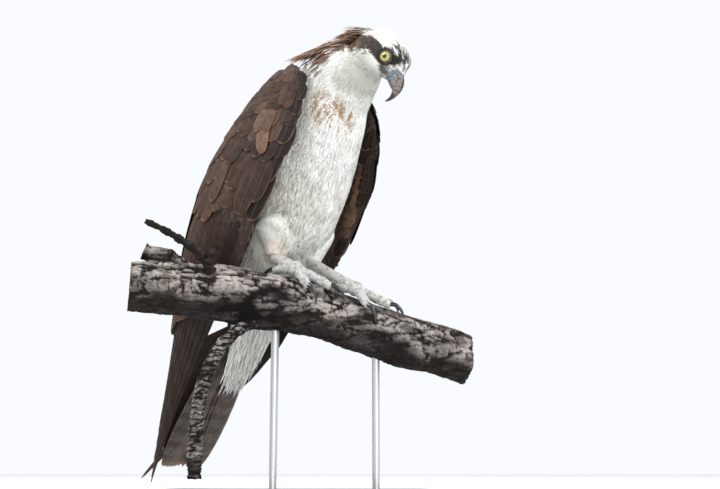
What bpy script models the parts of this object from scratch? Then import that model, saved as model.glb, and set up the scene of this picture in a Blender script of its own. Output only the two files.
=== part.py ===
"""An osprey at life size, perched on a cut length of branch, on a plain display stand.

The origin is the centre of the stand's underside, +Z is up, and the bird faces between -Y and +X.
"""

import math

import bmesh
import bpy
import numpy as np
from mathutils import Matrix, Vector

# Driving sizes of the pose, in metres and degrees
GAP = 0.0003
GRIP = Vector((0.030, -0.025, 0.270))
FACING = math.radians(45)
LEAN = math.radians(61.5)
NECK_F = 0.017
NECK_U = 0.203
HEAD_YAW = math.radians(62)
HEAD_PITCH = math.radians(58)
HEAD_PLACE = (0.105, 0.0155, 0.239)

# Driving sizes of the bird
WING_START = -0.034
CORE_END = 0.310
TAIL_ROOT = 0.285
TAIL_LENGTH = 0.238
VANE_THICK = 0.00065
EYE_RADIUS = 0.0083
LID_RADIUS = 0.0066
CLAW_LENGTH = 0.031

SHARP_ANGLE = math.radians(32)

# Driving sizes of the perch and the stand
BRANCH_YAW = math.radians(12)
BASE_SIZE = (0.34, 0.24, 0.014)
BASE_CORNER = 0.030
ROD_RADIUS = 0.0045
ROD_SHARES = (0.42, 0.72)

FORWARD = Vector((math.sin(FACING), -math.cos(FACING), 0))
LEFT = Vector((math.cos(FACING), math.sin(FACING), 0))
UP = Vector((0, 0, 1))
AXES = (UP, FORWARD, LEFT)
RIGHT_SIDE, LEFT_SIDE = -1, 1
SIDE_NAMES = {RIGHT_SIDE: "r", LEFT_SIDE: "l"}


def clear_scene():
    for obj in list(bpy.data.objects):
        bpy.data.objects.remove(obj)


def material(name, colour, roughness, metallic=0.0):
    mat = bpy.data.materials.new(name)
    mat.use_nodes = True
    shader = mat.node_tree.nodes["Principled BSDF"]
    shader.inputs["Base Color"].default_value = (*colour, 1)
    shader.inputs["Roughness"].default_value = roughness
    shader.inputs["Metallic"].default_value = metallic
    mat.diffuse_color = (*colour, 1)
    return mat


def smooth_rows(rows):
    """A smooth function through rows of (place, value, value, ...), flat outside them."""
    places = np.array([row[0] for row in rows], float)
    values = np.array([row[1:] for row in rows], float)
    slopes = np.gradient(values, places, axis=0)

    def at(place):
        place = min(max(place, places[0]), places[-1])
        k = min(int(np.searchsorted(places, place, side="right")) - 1, len(places) - 2)
        step = places[k + 1] - places[k]
        q = (place - places[k]) / step
        ends = (2 * q**3 - 3 * q**2 + 1) * values[k] + (3 * q**2 - 2 * q**3) * values[k + 1]
        bends = (q**3 - 2 * q**2 + q) * slopes[k] + (q**3 - q**2) * slopes[k + 1]
        return (ends + bends * step).tolist()

    return at


def mix(a, b, share):
    return a + (b - a) * share


def bird(f, l, u):
    """A point from its distances forward, to the left and up from the grip."""
    return GRIP + f * FORWARD + l * LEFT + u * UP


def body(s, w, l):
    """A point s down the body from the neck's base, w towards the belly and l to the left."""
    f = NECK_F - s * math.cos(LEAN) + w * math.sin(LEAN)
    u = NECK_U - s * math.sin(LEAN) - w * math.cos(LEAN)
    return bird(f, l, u)


HEAD_FORWARD = Vector(
    (
        math.sin(HEAD_YAW) * math.cos(HEAD_PITCH),
        -math.cos(HEAD_YAW) * math.cos(HEAD_PITCH),
        -math.sin(HEAD_PITCH),
    )
)
HEAD_LEFT = Vector((math.cos(HEAD_YAW), math.sin(HEAD_YAW), 0))
HEAD_UP = HEAD_FORWARD.cross(HEAD_LEFT)
HEAD_FRAME = Matrix.Translation(bird(*HEAD_PLACE)) @ Matrix(
    (HEAD_FORWARD, HEAD_LEFT, HEAD_UP)
).transposed().to_4x4()


def finish(name, bm, mat, smooth=True):
    """Makes a bmesh the named object, with its faces pointing out."""
    bm.normal_update()
    bmesh.ops.recalc_face_normals(bm, faces=bm.faces)
    mesh = bpy.data.meshes.new(name)
    bm.to_mesh(mesh)
    bm.free()
    if smooth:
        mesh.shade_smooth()
    mesh.materials.append(mat)
    obj = bpy.data.objects.new(name, mesh)
    bpy.context.scene.collection.objects.link(obj)
    return obj


def blob(sides, rings, surface):
    """A closed body made from a sphere: surface(share, angle) places the points from pole to pole."""
    bm = bmesh.new()
    bmesh.ops.create_uvsphere(bm, u_segments=sides, v_segments=rings, radius=1)
    for vert in bm.verts:
        share = math.acos(max(-1.0, min(1.0, vert.co.z))) / math.pi
        vert.co = surface(share, math.atan2(vert.co.y, vert.co.x))
    return bm


def tube(path, radius, sides, rings, flat_start=False, flat_end=False):
    """A round rod along path(share) of radius(share); a flat end has its pole level with its last ring."""
    first, last = 1 / rings, 1 - 1 / rings
    runs = [(path((k + 1) / 8) - path(k / 8)).normalized() for k in range(8)]
    aside = min(AXES, key=lambda axis: max(abs(run.dot(axis)) for run in runs))

    def surface(share, angle):
        inner = (share - first) / (last - first)
        q = min(max(inner, 0.0), 1.0)
        here = path(q)
        ahead = (path(min(q + 0.01, 1.0)) - path(max(q - 0.01, 0.0))).normalized()
        across = ahead.cross(aside).normalized()
        other = ahead.cross(across)
        if inner < -1e-6:
            return here - ahead * (0 if flat_start else radius(q) * 0.6)
        if inner > 1 + 1e-6:
            return here + ahead * (0 if flat_end else radius(q) * 0.6)
        return here + radius(q) * (math.cos(angle) * across + math.sin(angle) * other)

    return blob(sides, rings, surface)


# Rows of a vane from root to tip: how far along it, and how wide, as shares
VANES = {
    "short": ((0.0, 0.0), (0.04, 0.50), (0.40, 0.94), (0.76, 0.97), (0.94, 0.60), (1.0, 0.0)),
    "long": ((0.0, 0.0), (0.03, 0.42), (0.28, 0.86), (0.60, 1.0), (0.84, 0.84), (0.96, 0.46), (1.0, 0.0)),
    "loose": (
        (0.0, 0.0),
        (0.03, 0.42),
        (0.14, 0.75),
        (0.28, 0.94),
        (0.42, 1.0),
        (0.60, 1.0),
        (0.84, 0.88),
        (0.96, 0.52),
        (1.0, 0.0),
    ),
    "broad": ((0.0, 0.0), (0.03, 0.42), (0.28, 0.86), (0.60, 1.0), (0.87, 0.96), (0.97, 0.60), (1.0, 0.0)),
    "lock": ((0.0, 0.0), (0.04, 0.9), (0.45, 1.0), (0.85, 0.40), (1.0, 0.0)),
}
VANE_CORNERS = ((1, 0.5), (0, 0.5), (-1, 0.5), (-1, -0.5), (0, -0.5), (1, -0.5))


def vane(place, half_width, kind, mat, thick=VANE_THICK):
    """A flat tapered feather; place(along, across, height) lays its points. Both faces are split alike."""
    rows = VANES[kind]
    bm = bmesh.new()
    bmesh.ops.create_uvsphere(bm, u_segments=6, v_segments=len(rows) - 1, radius=1)
    order = {}
    for vert in bm.verts:
        row = round(math.acos(max(-1.0, min(1.0, vert.co.z))) / math.pi * (len(rows) - 1))
        across, height = VANE_CORNERS[math.floor(math.atan2(vert.co.y, vert.co.x) / math.radians(60)) % 6]
        along, wide = rows[row]
        if wide == 0.0:
            across = height = 0.0
        order[vert] = (row, across, height)
        vert.co = place(along, across * wide * half_width, height * thick)
    for face in [f for f in bm.faces if len(f.verts) == 4]:
        corners = sorted(face.verts, key=order.get)
        bmesh.utils.face_split(face, corners[0], corners[-1])
    return finish("vane", bm, mat)


def applied(obj):
    """Replaces the object's mesh with its mesh as the modifiers make it."""
    bpy.context.view_layer.update()
    graph = bpy.context.evaluated_depsgraph_get()
    made = bpy.data.meshes.new_from_object(obj.evaluated_get(graph))
    obj.modifiers.clear()
    obj.data = made
    return obj


def keep_largest(obj):
    """Leaves the largest closed surface of an object, with its steep edges shaded sharp."""
    bm = bmesh.new()
    bm.from_mesh(obj.data)
    left = set(bm.verts)
    groups = []
    while left:
        reached = [left.pop()]
        for vert in reached:
            fresh = {e.other_vert(vert) for e in vert.link_edges} & left
            left -= fresh
            reached.extend(fresh)
        groups.append(reached)
    largest = max(groups, key=lambda group: sum(f.calc_area() for v in group for f in v.link_faces))
    dropped = [v for group in groups if group is not largest for v in group]
    bmesh.ops.delete(bm, geom=dropped, context="VERTS")
    bm.to_mesh(obj.data)
    bm.free()
    obj.data.set_sharp_from_angle(angle=SHARP_ANGLE)
    return obj


def join(obj, extras):
    """Fuses closed pieces into the object as one closed body."""
    group = bpy.data.collections.new(obj.name + "_pieces")
    for extra in extras:
        bpy.context.scene.collection.objects.unlink(extra)
        group.objects.link(extra)
    bpy.context.scene.collection.children.link(group)
    union = obj.modifiers.new("join", "BOOLEAN")
    union.operation = "UNION"
    union.solver = "MANIFOLD"
    union.operand_type = "COLLECTION"
    union.collection = group
    applied(obj)
    for extra in extras:
        bpy.data.objects.remove(extra)
    bpy.data.collections.remove(group)
    return keep_largest(obj)


def swollen(obj, gap):
    """A copy of the object with each point moved out by gap along its normal."""
    bm = bmesh.new()
    bm.from_mesh(obj.data)
    bm.normal_update()
    moves = [(v, v.normal * gap * min(v.calc_shell_factor(), 1.5)) for v in bm.verts]
    for vert, move in moves:
        vert.co += move
    return finish(obj.name + "_swollen", bm, obj.data.materials[0])


def subtract(obj, cutter):
    """Cuts the cutter's form out of the object and removes the cutter."""
    cut = obj.modifiers.new("cut", "BOOLEAN")
    cut.operation = "DIFFERENCE"
    cut.solver = "MANIFOLD"
    cut.object = cutter
    applied(obj)
    bpy.data.objects.remove(cutter)
    return obj


def cut_clear(obj, *others, gap=GAP * 1.25):
    """Cuts the object back from each other one, which leaves the gap that touching pieces keep."""
    for other in others:
        subtract(obj, swollen(other, gap))
    return keep_largest(obj)


def keep_side(obj, point, normal):
    """Cuts the object with a plane and keeps the side that the normal points to."""
    bm = bmesh.new()
    bm.from_mesh(obj.data)
    geom = bm.verts[:] + bm.edges[:] + bm.faces[:]
    cut = bmesh.ops.bisect_plane(bm, geom=geom, plane_co=point, plane_no=normal, clear_inner=True)
    rim = [e for e in cut["geom_cut"] if isinstance(e, bmesh.types.BMEdge)]
    bmesh.ops.holes_fill(bm, edges=rim, sides=0)
    bmesh.ops.recalc_face_normals(bm, faces=bm.faces)
    bm.to_mesh(obj.data)
    bm.free()
    return obj


# Trunk: one form from the tail's root to the inside of the head, as distance down the body, offset
# towards the belly, half depth and half width
TRUNK = smooth_rows(
    [
        (0.000, -0.004, 0.054, 0.051),
        (0.050, -0.010, 0.069, 0.061),
        (0.100, -0.012, 0.075, 0.064),
        (0.155, -0.013, 0.071, 0.060),
        (0.210, -0.015, 0.059, 0.051),
        (0.260, -0.012, 0.043, 0.041),
        (0.300, -0.002, 0.024, 0.031),
        (0.340, 0.000, 0.012, 0.022),
        (0.370, -0.004, 0.006, 0.013),
    ]
)
TRUNK_END = 0.385
# Neck: share, forward, left, up, half depth, half width
NECK = smooth_rows(
    [
        (0.0, 0.013, 0.000, 0.206, 0.054, 0.051),
        (0.4, 0.033, 0.003, 0.231, 0.052, 0.045),
        (0.8, 0.057, 0.007, 0.248, 0.0405, 0.038),
        (1.0, 0.071, 0.010, 0.254, 0.025, 0.029),
    ]
)
NECK_TURN = math.radians(30)
NECK_RINGS = 0.26


def trunk_surface(share, angle):
    """The whole trunk: the neck takes the first part of the share, the body the rest."""
    if share < NECK_RINGS:
        q = 1 - share / NECK_RINGS
        f, l, u, depth, width = NECK(q)
        if share < 1e-6:
            return bird(f + 0.004, l, u + 0.002)
        slope = LEAN - NECK_TURN * q
        front = FORWARD * math.sin(slope) - UP * math.cos(slope)
        centre = bird(f, l, u)
    else:
        q = (share - NECK_RINGS) / (1 - NECK_RINGS)
        s = TRUNK_END * q**0.95
        w, depth, width = TRUNK(s)
        if share > 1 - 1e-6:
            return body(TRUNK_END, w, 0)
        front = FORWARD * math.sin(LEAN) - UP * math.cos(LEAN)
        centre = body(s, w, 0)
    return centre + depth * math.cos(angle) * front + width * math.sin(angle) * LEFT


def build_trunk(white):
    """The torso and the neck: one form, parted by a thin plane cut at the neck's base."""
    torso = finish("torso", blob(22, 20, trunk_surface), white)
    neck = finish("neck", blob(22, 20, trunk_surface), white)
    along = FORWARD * math.cos(LEAN) + UP * math.sin(LEAN)
    keep_side(torso, body(0, 0, 0) - along * GAP / 2, -along)
    keep_side(neck, body(0, 0, 0) + along * GAP / 2, along)
    return torso, neck


# Head: distance forward, middle height, half height up, half height down, half width
HEAD = smooth_rows(
    [
        (-0.0520, -0.020, 0.001, 0.001, 0.001),
        (-0.0480, -0.0175, 0.0115, 0.015, 0.0120),
        (-0.0430, -0.013, 0.0170, 0.0240, 0.0170),
        (-0.0320, -0.007, 0.0235, 0.034, 0.0240),
        (-0.0160, -0.002, 0.0225, 0.032, 0.0275),
        (0.0000, -0.002, 0.0210, 0.027, 0.0260),
        (0.0100, -0.002, 0.0205, 0.0220, 0.0212),
        (0.0180, -0.003, 0.0190, 0.0175, 0.0130),
        (0.0250, -0.004, 0.0130, 0.0115, 0.0080),
        (0.0300, -0.005, 0.0060, 0.0060, 0.0038),
    ]
)
HEAD_BACK, HEAD_FRONT = -0.0525, 0.0305
EYE_PLACE = (0.0050, 0.0178, -0.0015)
BROW = (0.0050, 0.0085)
BROW_RISE = 0.0022


def head_surface(share, angle):
    x = mix(HEAD_BACK, HEAD_FRONT, (1 - math.cos(share * math.pi)) / 2)
    middle, above, below, width = HEAD(x)
    if share < 1e-6 or share > 1 - 1e-6:
        return Vector((x, 0, middle))
    z = (above if math.sin(angle) > 0 else below) * math.sin(angle)
    y = width * math.cos(angle)
    near = math.hypot((x - BROW[0]) / 0.013, (middle + z - BROW[1]) / 0.005)
    swell = 1 + BROW_RISE / width * math.exp(-near * near)
    return Vector((x, y * swell, middle + z))


def ring(axis_matrix, distance, major, minor, sides, steps, mat):
    """A round ring, spun from a small circle about the X axis of axis_matrix."""
    bm = bmesh.new()
    bmesh.ops.create_circle(bm, segments=sides, radius=minor)
    for vert in bm.verts:
        vert.co = Vector((distance + vert.co.x, major + vert.co.y, 0))
    bmesh.ops.spin(
        bm,
        geom=bm.verts[:] + bm.edges[:],
        cent=(0, 0, 0),
        axis=(1, 0, 0),
        angle=math.tau,
        steps=steps,
        use_merge=True,
    )
    bmesh.ops.transform(bm, matrix=axis_matrix, verts=bm.verts)
    return finish("ring", bm, mat)


def eye_frame(side):
    """The eye's own frame: X looks out of the eye."""
    out = Vector((0.26, side, 0.06)).normalized()
    across = out.cross(Vector((0, 0, 1))).normalized()
    turn = Matrix((out, across, out.cross(across))).transposed().to_4x4()
    place = Vector((EYE_PLACE[0], side * EYE_PLACE[1], EYE_PLACE[2]))
    return HEAD_FRAME @ Matrix.Translation(place) @ turn


def ball(name, frame, radius, mat):
    bm = bmesh.new()
    turned = frame @ Matrix.Rotation(math.pi / 2, 4, "Y")
    bmesh.ops.create_uvsphere(bm, u_segments=14, v_segments=8, radius=radius, matrix=turned)
    return finish(name, bm, mat)


# Bill: share along the culmen, half height, half width
BILL_START = (0.0170, -0.0085)
BILL_LENGTH = 0.041
BILL_SIZES = smooth_rows(
    [
        (0.00, 0.0098, 0.0092),
        (0.25, 0.0098, 0.0078),
        (0.50, 0.0072, 0.0056),
        (0.60, 0.0052, 0.0044),
        (0.72, 0.0031, 0.0029),
        (0.88, 0.0017, 0.0016),
        (1.00, 0.0005, 0.0005),
    ]
)
NOSTRIL = (0.0225, 0.0082, -0.0060)
NOSTRIL_SIZES = (0.0028, 0.0022, 0.0012)
NOSTRIL_TURN = math.radians(-28)
BILL_START_SLOPE = math.radians(-6)
BILL_HOOK = math.radians(117)


def bill_line(share, length, hook, start):
    """Place and slope, in the head's middle plane, along a line that bends down more and more."""
    x, z = start
    steps = 24
    slope = BILL_START_SLOPE
    for k in range(steps):
        q = (k + 0.5) / steps * share
        slope = BILL_START_SLOPE - hook * q**1.5
        x += math.cos(slope) * length * share / steps
        z += math.sin(slope) * length * share / steps
    return x, z, slope


def build_bill(horn):
    def upper(share, angle):
        x, z, slope = bill_line(share, BILL_LENGTH, BILL_HOOK, BILL_START)
        high, wide = BILL_SIZES(share)
        if share < 1e-6 or share > 1 - 1e-6:
            high = wide = 0.0
        flat = min(0.62 + max(0.0, share - 0.55) * 2, 1.0) if math.sin(angle) < 0 else 1.0
        lift = high * math.sin(angle) * flat
        return Vector((x - math.sin(slope) * lift, wide * math.cos(angle), z + math.cos(slope) * lift))

    def lower(share, angle):
        x, z, slope = bill_line(share, 0.021, math.radians(24), (0.0150, -0.0140))
        high = 0.0042 * math.sqrt(max(0.0, 1 - share**3))
        wide = 0.0070 * math.sqrt(max(0.0, 1 - share**2)) + 0.0004
        if share < 1e-6 or share > 1 - 1e-6:
            high = wide = 0.0
        lift = high * math.sin(angle)
        return Vector((x - math.sin(slope) * lift, wide * math.cos(angle), z + math.cos(slope) * lift))

    bills = []
    for name, surface, sides, rings in (("bill_upper", upper, 12, 12), ("bill_lower", lower, 10, 8)):
        bm = blob(sides, rings, surface)
        bmesh.ops.transform(bm, matrix=HEAD_FRAME, verts=bm.verts)
        bills.append(finish(name, bm, horn))
    return bills


def cut_nostrils(upper, horn):
    for side in SIDE_NAMES:
        turn = Matrix.Rotation(NOSTRIL_TURN, 4, "Y") @ Matrix.Diagonal((*NOSTRIL_SIZES, 1))
        place = HEAD_FRAME @ Matrix.Translation((NOSTRIL[0], side * NOSTRIL[1], NOSTRIL[2])) @ turn
        bm = bmesh.new()
        bmesh.ops.create_uvsphere(bm, u_segments=8, v_segments=6, radius=1, matrix=place)
        subtract(upper, finish("nostril", bm, horn))


# Crest: distance back from the eyes, to the side and up of each lock's root, then its tip's
CREST = (
    (-0.040, 0.000, 0.003, -0.077, 0.000, -0.032),
    (-0.038, 0.009, -0.001, -0.073, 0.011, -0.042),
    (-0.034, 0.017, -0.005, -0.061, 0.024, -0.045),
    (-0.045, 0.004, -0.014, -0.073, 0.005, -0.053),
    (-0.040, 0.013, -0.018, -0.064, 0.018, -0.059),
)
LOCK_HALF = 0.0066
LOCK_BOW = 0.004
LOCK_THICK = 0.0009


def build_crest(mat):
    """Flat tapered locks that stand off the back of the head."""
    locks = []
    for x0, y0, z0, x1, y1, z1 in CREST:
        for side in ((1,) if y0 == 0 else (1, -1)):
            root, tip = Vector((x0, side * y0, z0)), Vector((x1, side * y1, z1))
            ahead = (tip - root).normalized()
            out = Vector((-0.03, root.y, 0.006)).normalized()
            across = ahead.cross(out).normalized()
            normal = across.cross(ahead)

            def place(along, wide, height, root=root, tip=tip, across=across, normal=normal):
                bow = normal * LOCK_BOW * math.sin(math.pi * along)
                return HEAD_FRAME @ (mix(root, tip, along) + across * wide + normal * height + bow)

            locks.append(vane(place, LOCK_HALF, "lock", mat, LOCK_THICK))
    return locks


def build_head(dark, horn, eye_mat, neck, torso):
    """The head with its lids, both halves of the bill and the eyes in their sockets."""
    bm = blob(18, 14, head_surface)
    bmesh.ops.transform(bm, matrix=HEAD_FRAME, verts=bm.verts)
    head = finish("head", bm, dark)
    upper, lower = build_bill(horn)
    cut_clear(lower, upper)
    lids, eyes = [], []
    reach = math.sqrt(EYE_RADIUS**2 - LID_RADIUS**2)
    for side, tag in SIDE_NAMES.items():
        lids.append(ring(eye_frame(side), reach, LID_RADIUS + 0.0002, 0.0014, 5, 12, dark))
        eyes.append(ball("eye_" + tag, eye_frame(side), EYE_RADIUS, eye_mat))
    join(head, lids + build_crest(dark))
    cut_clear(head, *eyes, upper, lower, neck, torso)
    cut_nostrils(upper, horn)
    return head


# Wing: distance from the wrist, then offset to the belly and to the side of the front edge, of the
# middle and of the back edge of its outer face
WING = smooth_rows(
    [
        (-0.034, -0.030, 0.046, -0.036, 0.052, -0.041, 0.044),
        (-0.027, -0.013, 0.049, -0.029, 0.072, -0.048, 0.040),
        (-0.015, 0.006, 0.054, -0.029, 0.095, -0.062, 0.034),
        (0.000, 0.019, 0.060, -0.034, 0.112, -0.074, 0.028),
        (0.030, 0.033, 0.066, -0.044, 0.132, -0.086, 0.024),
        (0.060, 0.039, 0.071, -0.053, 0.142, -0.094, 0.021),
        (0.130, 0.034, 0.074, -0.062, 0.149, -0.099, 0.018),
        (0.200, 0.025, 0.070, -0.067, 0.141, -0.096, 0.015),
        (0.260, 0.006, 0.063, -0.070, 0.127, -0.091, 0.013),
        (0.340, -0.012, 0.058, -0.070, 0.103, -0.083, 0.010),
        (0.440, -0.034, 0.052, -0.065, 0.067, -0.078, 0.010),
        (0.560, -0.052, 0.037, -0.063, 0.032, -0.076, 0.010),
    ]
)
# The right wing lies closer at the wrist and looser below: distance from the wrist, swell
SWELL = smooth_rows(
    [
        (-0.034, -0.0030),
        (-0.015, -0.0055),
        (0.020, -0.0065),
        (0.060, -0.0040),
        (0.100, 0.0005),
        (0.140, 0.0042),
        (0.200, 0.0055),
        (0.260, 0.0040),
        (0.340, 0.0010),
        (0.400, 0.0000),
    ]
)
# The left wing's end crosses over the tail: distance from the wrist, sideways shift, shift to the back
CROSSING = smooth_rows(
    [
        (0.060, 0.000, 0.000),
        (0.130, -0.007, 0.000),
        (0.200, -0.011, 0.000),
        (0.280, -0.017, 0.001),
        (0.340, -0.018, 0.005),
        (0.400, -0.003, 0.011),
        (0.470, 0.033, 0.018),
        (0.560, 0.068, 0.022),
    ]
)


def wing_face(s, b):
    """A point of the wing's outer face at s from the wrist and b across from its front edge."""
    front_w, front_l, mid_w, mid_l, back_w, back_l = WING(s)
    turn = 2 * b * (1 - b)
    w = (1 - b) ** 2 * front_w + turn * mid_w + b * b * back_w
    l = (1 - b) ** 2 * front_l + turn * mid_l + b * b * back_l
    return Vector((s, w, l))


def wing_point(s, b, height, side):
    """A point that stands off the wing's outer face by height."""
    here = wing_face(s, b)
    along = wing_face(s + 0.004, b) - wing_face(s - 0.004, b)
    across = wing_face(s, b + 0.01) - wing_face(s, b - 0.01)
    normal = along.cross(across).normalized()
    if normal.z < 0 and abs(normal.z) > 0.05:
        normal = -normal
    swell = SWELL(s)[0] * math.sin(math.pi * min(max(b, 0.0), 1.0)) if side == RIGHT_SIDE else 0.0
    place = here + normal * (height + swell)
    shift, back = CROSSING(s) if side == LEFT_SIDE else (0.0, 0.0)
    return body(place.x, place.y - back, side * place.z - shift)


CORE_FALL = smooth_rows(
    [(-0.045, 0.0), (0.150, 0.0), (0.200, -0.003), (0.250, -0.009), (0.280, -0.012), (0.310, -0.013)]
)
CORE_THICK = smooth_rows(
    [
        (-0.045, 0.024),
        (0.030, 0.048),
        (0.120, 0.052),
        (0.200, 0.040),
        (0.260, 0.016),
        (0.310, 0.006),
    ]
)


def wing_core(side, brown):
    """The wing's closed form under its vanes; the trunk later cuts its inner side to fit."""

    def surface(share, angle):
        s = mix(WING_START, CORE_END, (1 - math.cos(share * math.pi)) / 2 * 0.75 + share * 0.25)
        turn = (angle % math.tau) / math.tau
        b = 2 * turn if turn <= 0.5 else 2 - 2 * turn
        thick = 0.0 if turn <= 0.5 else CORE_THICK(s)[0] * math.sin(math.pi * b) ** 0.6
        if share < 1e-6 or share > 1 - 1e-6:
            b, thick = 0.5, CORE_THICK(s)[0] / 2
        return wing_point(s, b, CORE_FALL(s)[0] - thick, side)

    return finish("wing_" + SIDE_NAMES[side], blob(16, 11, surface), brown)


# Tiers of the wing's vanes. The first and the last vane of each, as: start from the wrist, place across
# the wing at the root and at the tip, length, height of the middle and of the tip over the core
TIERS = {
    "scapular": (
        (0.032, 0.82, 0.86, 0.085, 0.0046, 0.0080),
        (0.024, 1.02, 0.98, 0.100, 0.0050, 0.0084),
    ),
    "shoulder": (
        (0.012, 0.08, 0.06, 0.062, 0.0016, 0.0042),
        (0.012, 0.82, 0.80, 0.068, 0.0016, 0.0046),
    ),
    "median": (
        (0.052, 0.05, 0.04, 0.072, 0.0017, 0.0042),
        (0.056, 0.96, 0.94, 0.086, 0.0017, 0.0046),
    ),
    "greater": (
        (0.098, 0.04, 0.04, 0.092, 0.0017, 0.0040),
        (0.106, 0.90, 0.88, 0.104, 0.0020, 0.0066),
    ),
    "tertial": (
        (0.130, 0.74, 0.74, 0.190, 0.0034, 0.0048),
        (0.125, 0.98, 0.94, 0.215, 0.0050, 0.0064),
    ),
    "secondary": (
        (0.145, 0.16, 0.24, 0.175, -0.0004, 0.0002),
        (0.145, 0.66, 0.68, 0.215, 0.0026, 0.0034),
    ),
    "primary": (
        (0.150, 0.02, 0.14, 0.400, -0.0090, -0.0065),
        (0.150, 0.46, 0.66, 0.300, -0.0040, -0.0015),
    ),
}
# Number of vanes in each tier, half width and rows
TIER_VANES = {
    "scapular": (3, 0.0160, "short"),
    "shoulder": (4, 0.0190, "short"),
    "median": (5, 0.0195, "short"),
    "greater": (5, 0.0190, "short"),
    "tertial": (3, 0.0180, "long"),
    "secondary": (5, 0.0165, "long"),
    "primary": (6, 0.0125, "broad"),
}
VANE_SINK = 0.003
VANE_TILT = 0.060


def wing_vane(side, start, root_b, tip_b, length, middle, tip, half_width, kind, mat):
    def place(along, across, height):
        s = start + length * along
        b = mix(root_b, tip_b, along)
        spread = (wing_face(s, b + 0.01) - wing_face(s, b - 0.01)).length / 0.02
        if along < 0.3:
            rise = mix(min(middle, 0.0) - VANE_SINK, middle, along / 0.3)
        else:
            rise = mix(middle, tip, (along - 0.3) / 0.7)
        return wing_point(s, b + across / spread, rise - VANE_TILT * across + height, side)

    return vane(place, half_width, kind, mat)


def build_wing(side, brown, torso, neck, thigh):
    """The folded wing: its core with tiers of overlapping vanes, fused into one solid."""
    wing = wing_core(side, brown)
    vanes = []
    for name, (first, last) in TIERS.items():
        count, half_width, kind = TIER_VANES[name]
        for k in range(count):
            sizes = [mix(a, b, k / (count - 1)) for a, b in zip(first, last)]
            vanes.append(wing_vane(side, *sizes, half_width, kind, brown))
    join(wing, vanes)
    return cut_clear(wing, torso, neck, thigh)


TAIL_COUNT = 12
TAIL_HALF = 0.0155
TAIL_STEP = 0.0026
TAIL_FAN = math.radians(0.72)
TAIL_ASIDE = 0.0045
TAIL_LAYER = 0.0009
TAIL_LINE = smooth_rows(
    [(0.255, -0.008), (0.300, -0.014), (0.340, -0.021), (0.400, -0.031), (0.530, -0.054)]
)
TAIL_ROOT_WIDTH = 0.022
# The loose feather beside the tail: share of its length, sideways place, depth below the tail's line
SIDE_LINE = smooth_rows(
    [
        (0.00, -0.006, 0.0000),
        (0.07, -0.013, 0.0010),
        (0.16, -0.032, 0.0070),
        (0.30, -0.037, 0.0095),
        (0.50, -0.034, 0.0095),
        (0.75, -0.026, 0.0085),
        (1.00, -0.018, 0.0075),
    ]
)
SIDE_HALF = 0.0150
SIDE_LENGTH = 0.222


def build_tail(brown, torso):
    """Twelve long vanes in layers, the outer ones lowest, with their roots in one small body."""

    def root_surface(share, angle):
        s = mix(TAIL_ROOT - 0.010, TAIL_ROOT + 0.085, share)
        swell = math.sin(math.pi * share) ** 0.6
        w = TAIL_LINE(s)[0] + 0.0090 * swell * math.sin(angle)
        return body(s, w, TAIL_ROOT_WIDTH * swell * math.cos(angle))

    tail = finish("tail", blob(10, 6, root_surface), brown)
    vanes = []
    for k in range(TAIL_COUNT):
        place_k = k - (TAIL_COUNT - 1) / 2
        layer = 2 * min(k, TAIL_COUNT - 1 - k) + (1 if place_k > 0 else 0)
        drop = (layer - (TAIL_COUNT - 1) / 2) * TAIL_LAYER
        short = 0.006 * (abs(place_k) / 5.5) ** 2

        def place(along, across, height, place_k=place_k, drop=drop, short=short):
            s = TAIL_ROOT + (TAIL_LENGTH - short) * along
            fan = TAIL_STEP + math.tan(TAIL_FAN) * TAIL_LENGTH * along
            side = place_k * fan + across + TAIL_ASIDE * along
            return body(s, TAIL_LINE(s)[0] - drop + height, side)

        vanes.append(vane(place, TAIL_HALF, "long", brown))

    def place_loose(along, across, height):
        side, drop = SIDE_LINE(along)
        s = TAIL_ROOT + SIDE_LENGTH * along
        return body(s, TAIL_LINE(s)[0] - drop + height, side + across)

    vanes.append(vane(place_loose, SIDE_HALF, "loose", brown))
    join(tail, vanes)
    return cut_clear(tail, torso)


# Branch: distance along X, height, radius, as the axis runs from its left end to its right end
BRANCH = smooth_rows(
    [
        (-0.184, 0.2420, 0.0285),
        (-0.100, 0.2385, 0.0320),
        (-0.020, 0.2285, 0.0330),
        (0.050, 0.2115, 0.0300),
        (0.120, 0.1905, 0.0310),
        (0.205, 0.1660, 0.0295),
    ]
)
BRANCH_ENDS = (-0.184, 0.205)
KNOBS = 0.0014


def branch_axis(x):
    z, radius = BRANCH(x)
    return Vector((x, GRIP.y + (x - GRIP.x) * math.tan(BRANCH_YAW), z)), radius


def branch_point(x, turn, height):
    """A point on the bark at x; turn is 0 on top and grows towards the viewer's side."""
    centre, radius = branch_axis(x)
    ahead = (branch_axis(x + 0.004)[0] - branch_axis(x - 0.004)[0]).normalized()
    near = ahead.cross(UP).normalized()
    top = near.cross(ahead).normalized()
    return centre + (radius + height) * (math.cos(turn) * top + math.sin(turn) * near)


def build_branch(bark):
    """The perch: a rough limb with sawn ends."""
    rings = 22

    def surface(share, angle):
        q = min(max((share - 1 / rings) / (1 - 2 / rings), 0.0), 1.0)
        x = mix(*BRANCH_ENDS, q)
        if share < 1e-6 or share > 1 - 1e-6:
            return branch_axis(x)[0]
        rough = math.sin(3 * angle + 40 * x) + math.sin(5 * angle - 75 * x + 1) * 0.6
        return branch_point(x, angle, KNOBS * rough)

    return finish("perch_branch", blob(14, rings, surface), bark)


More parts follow.
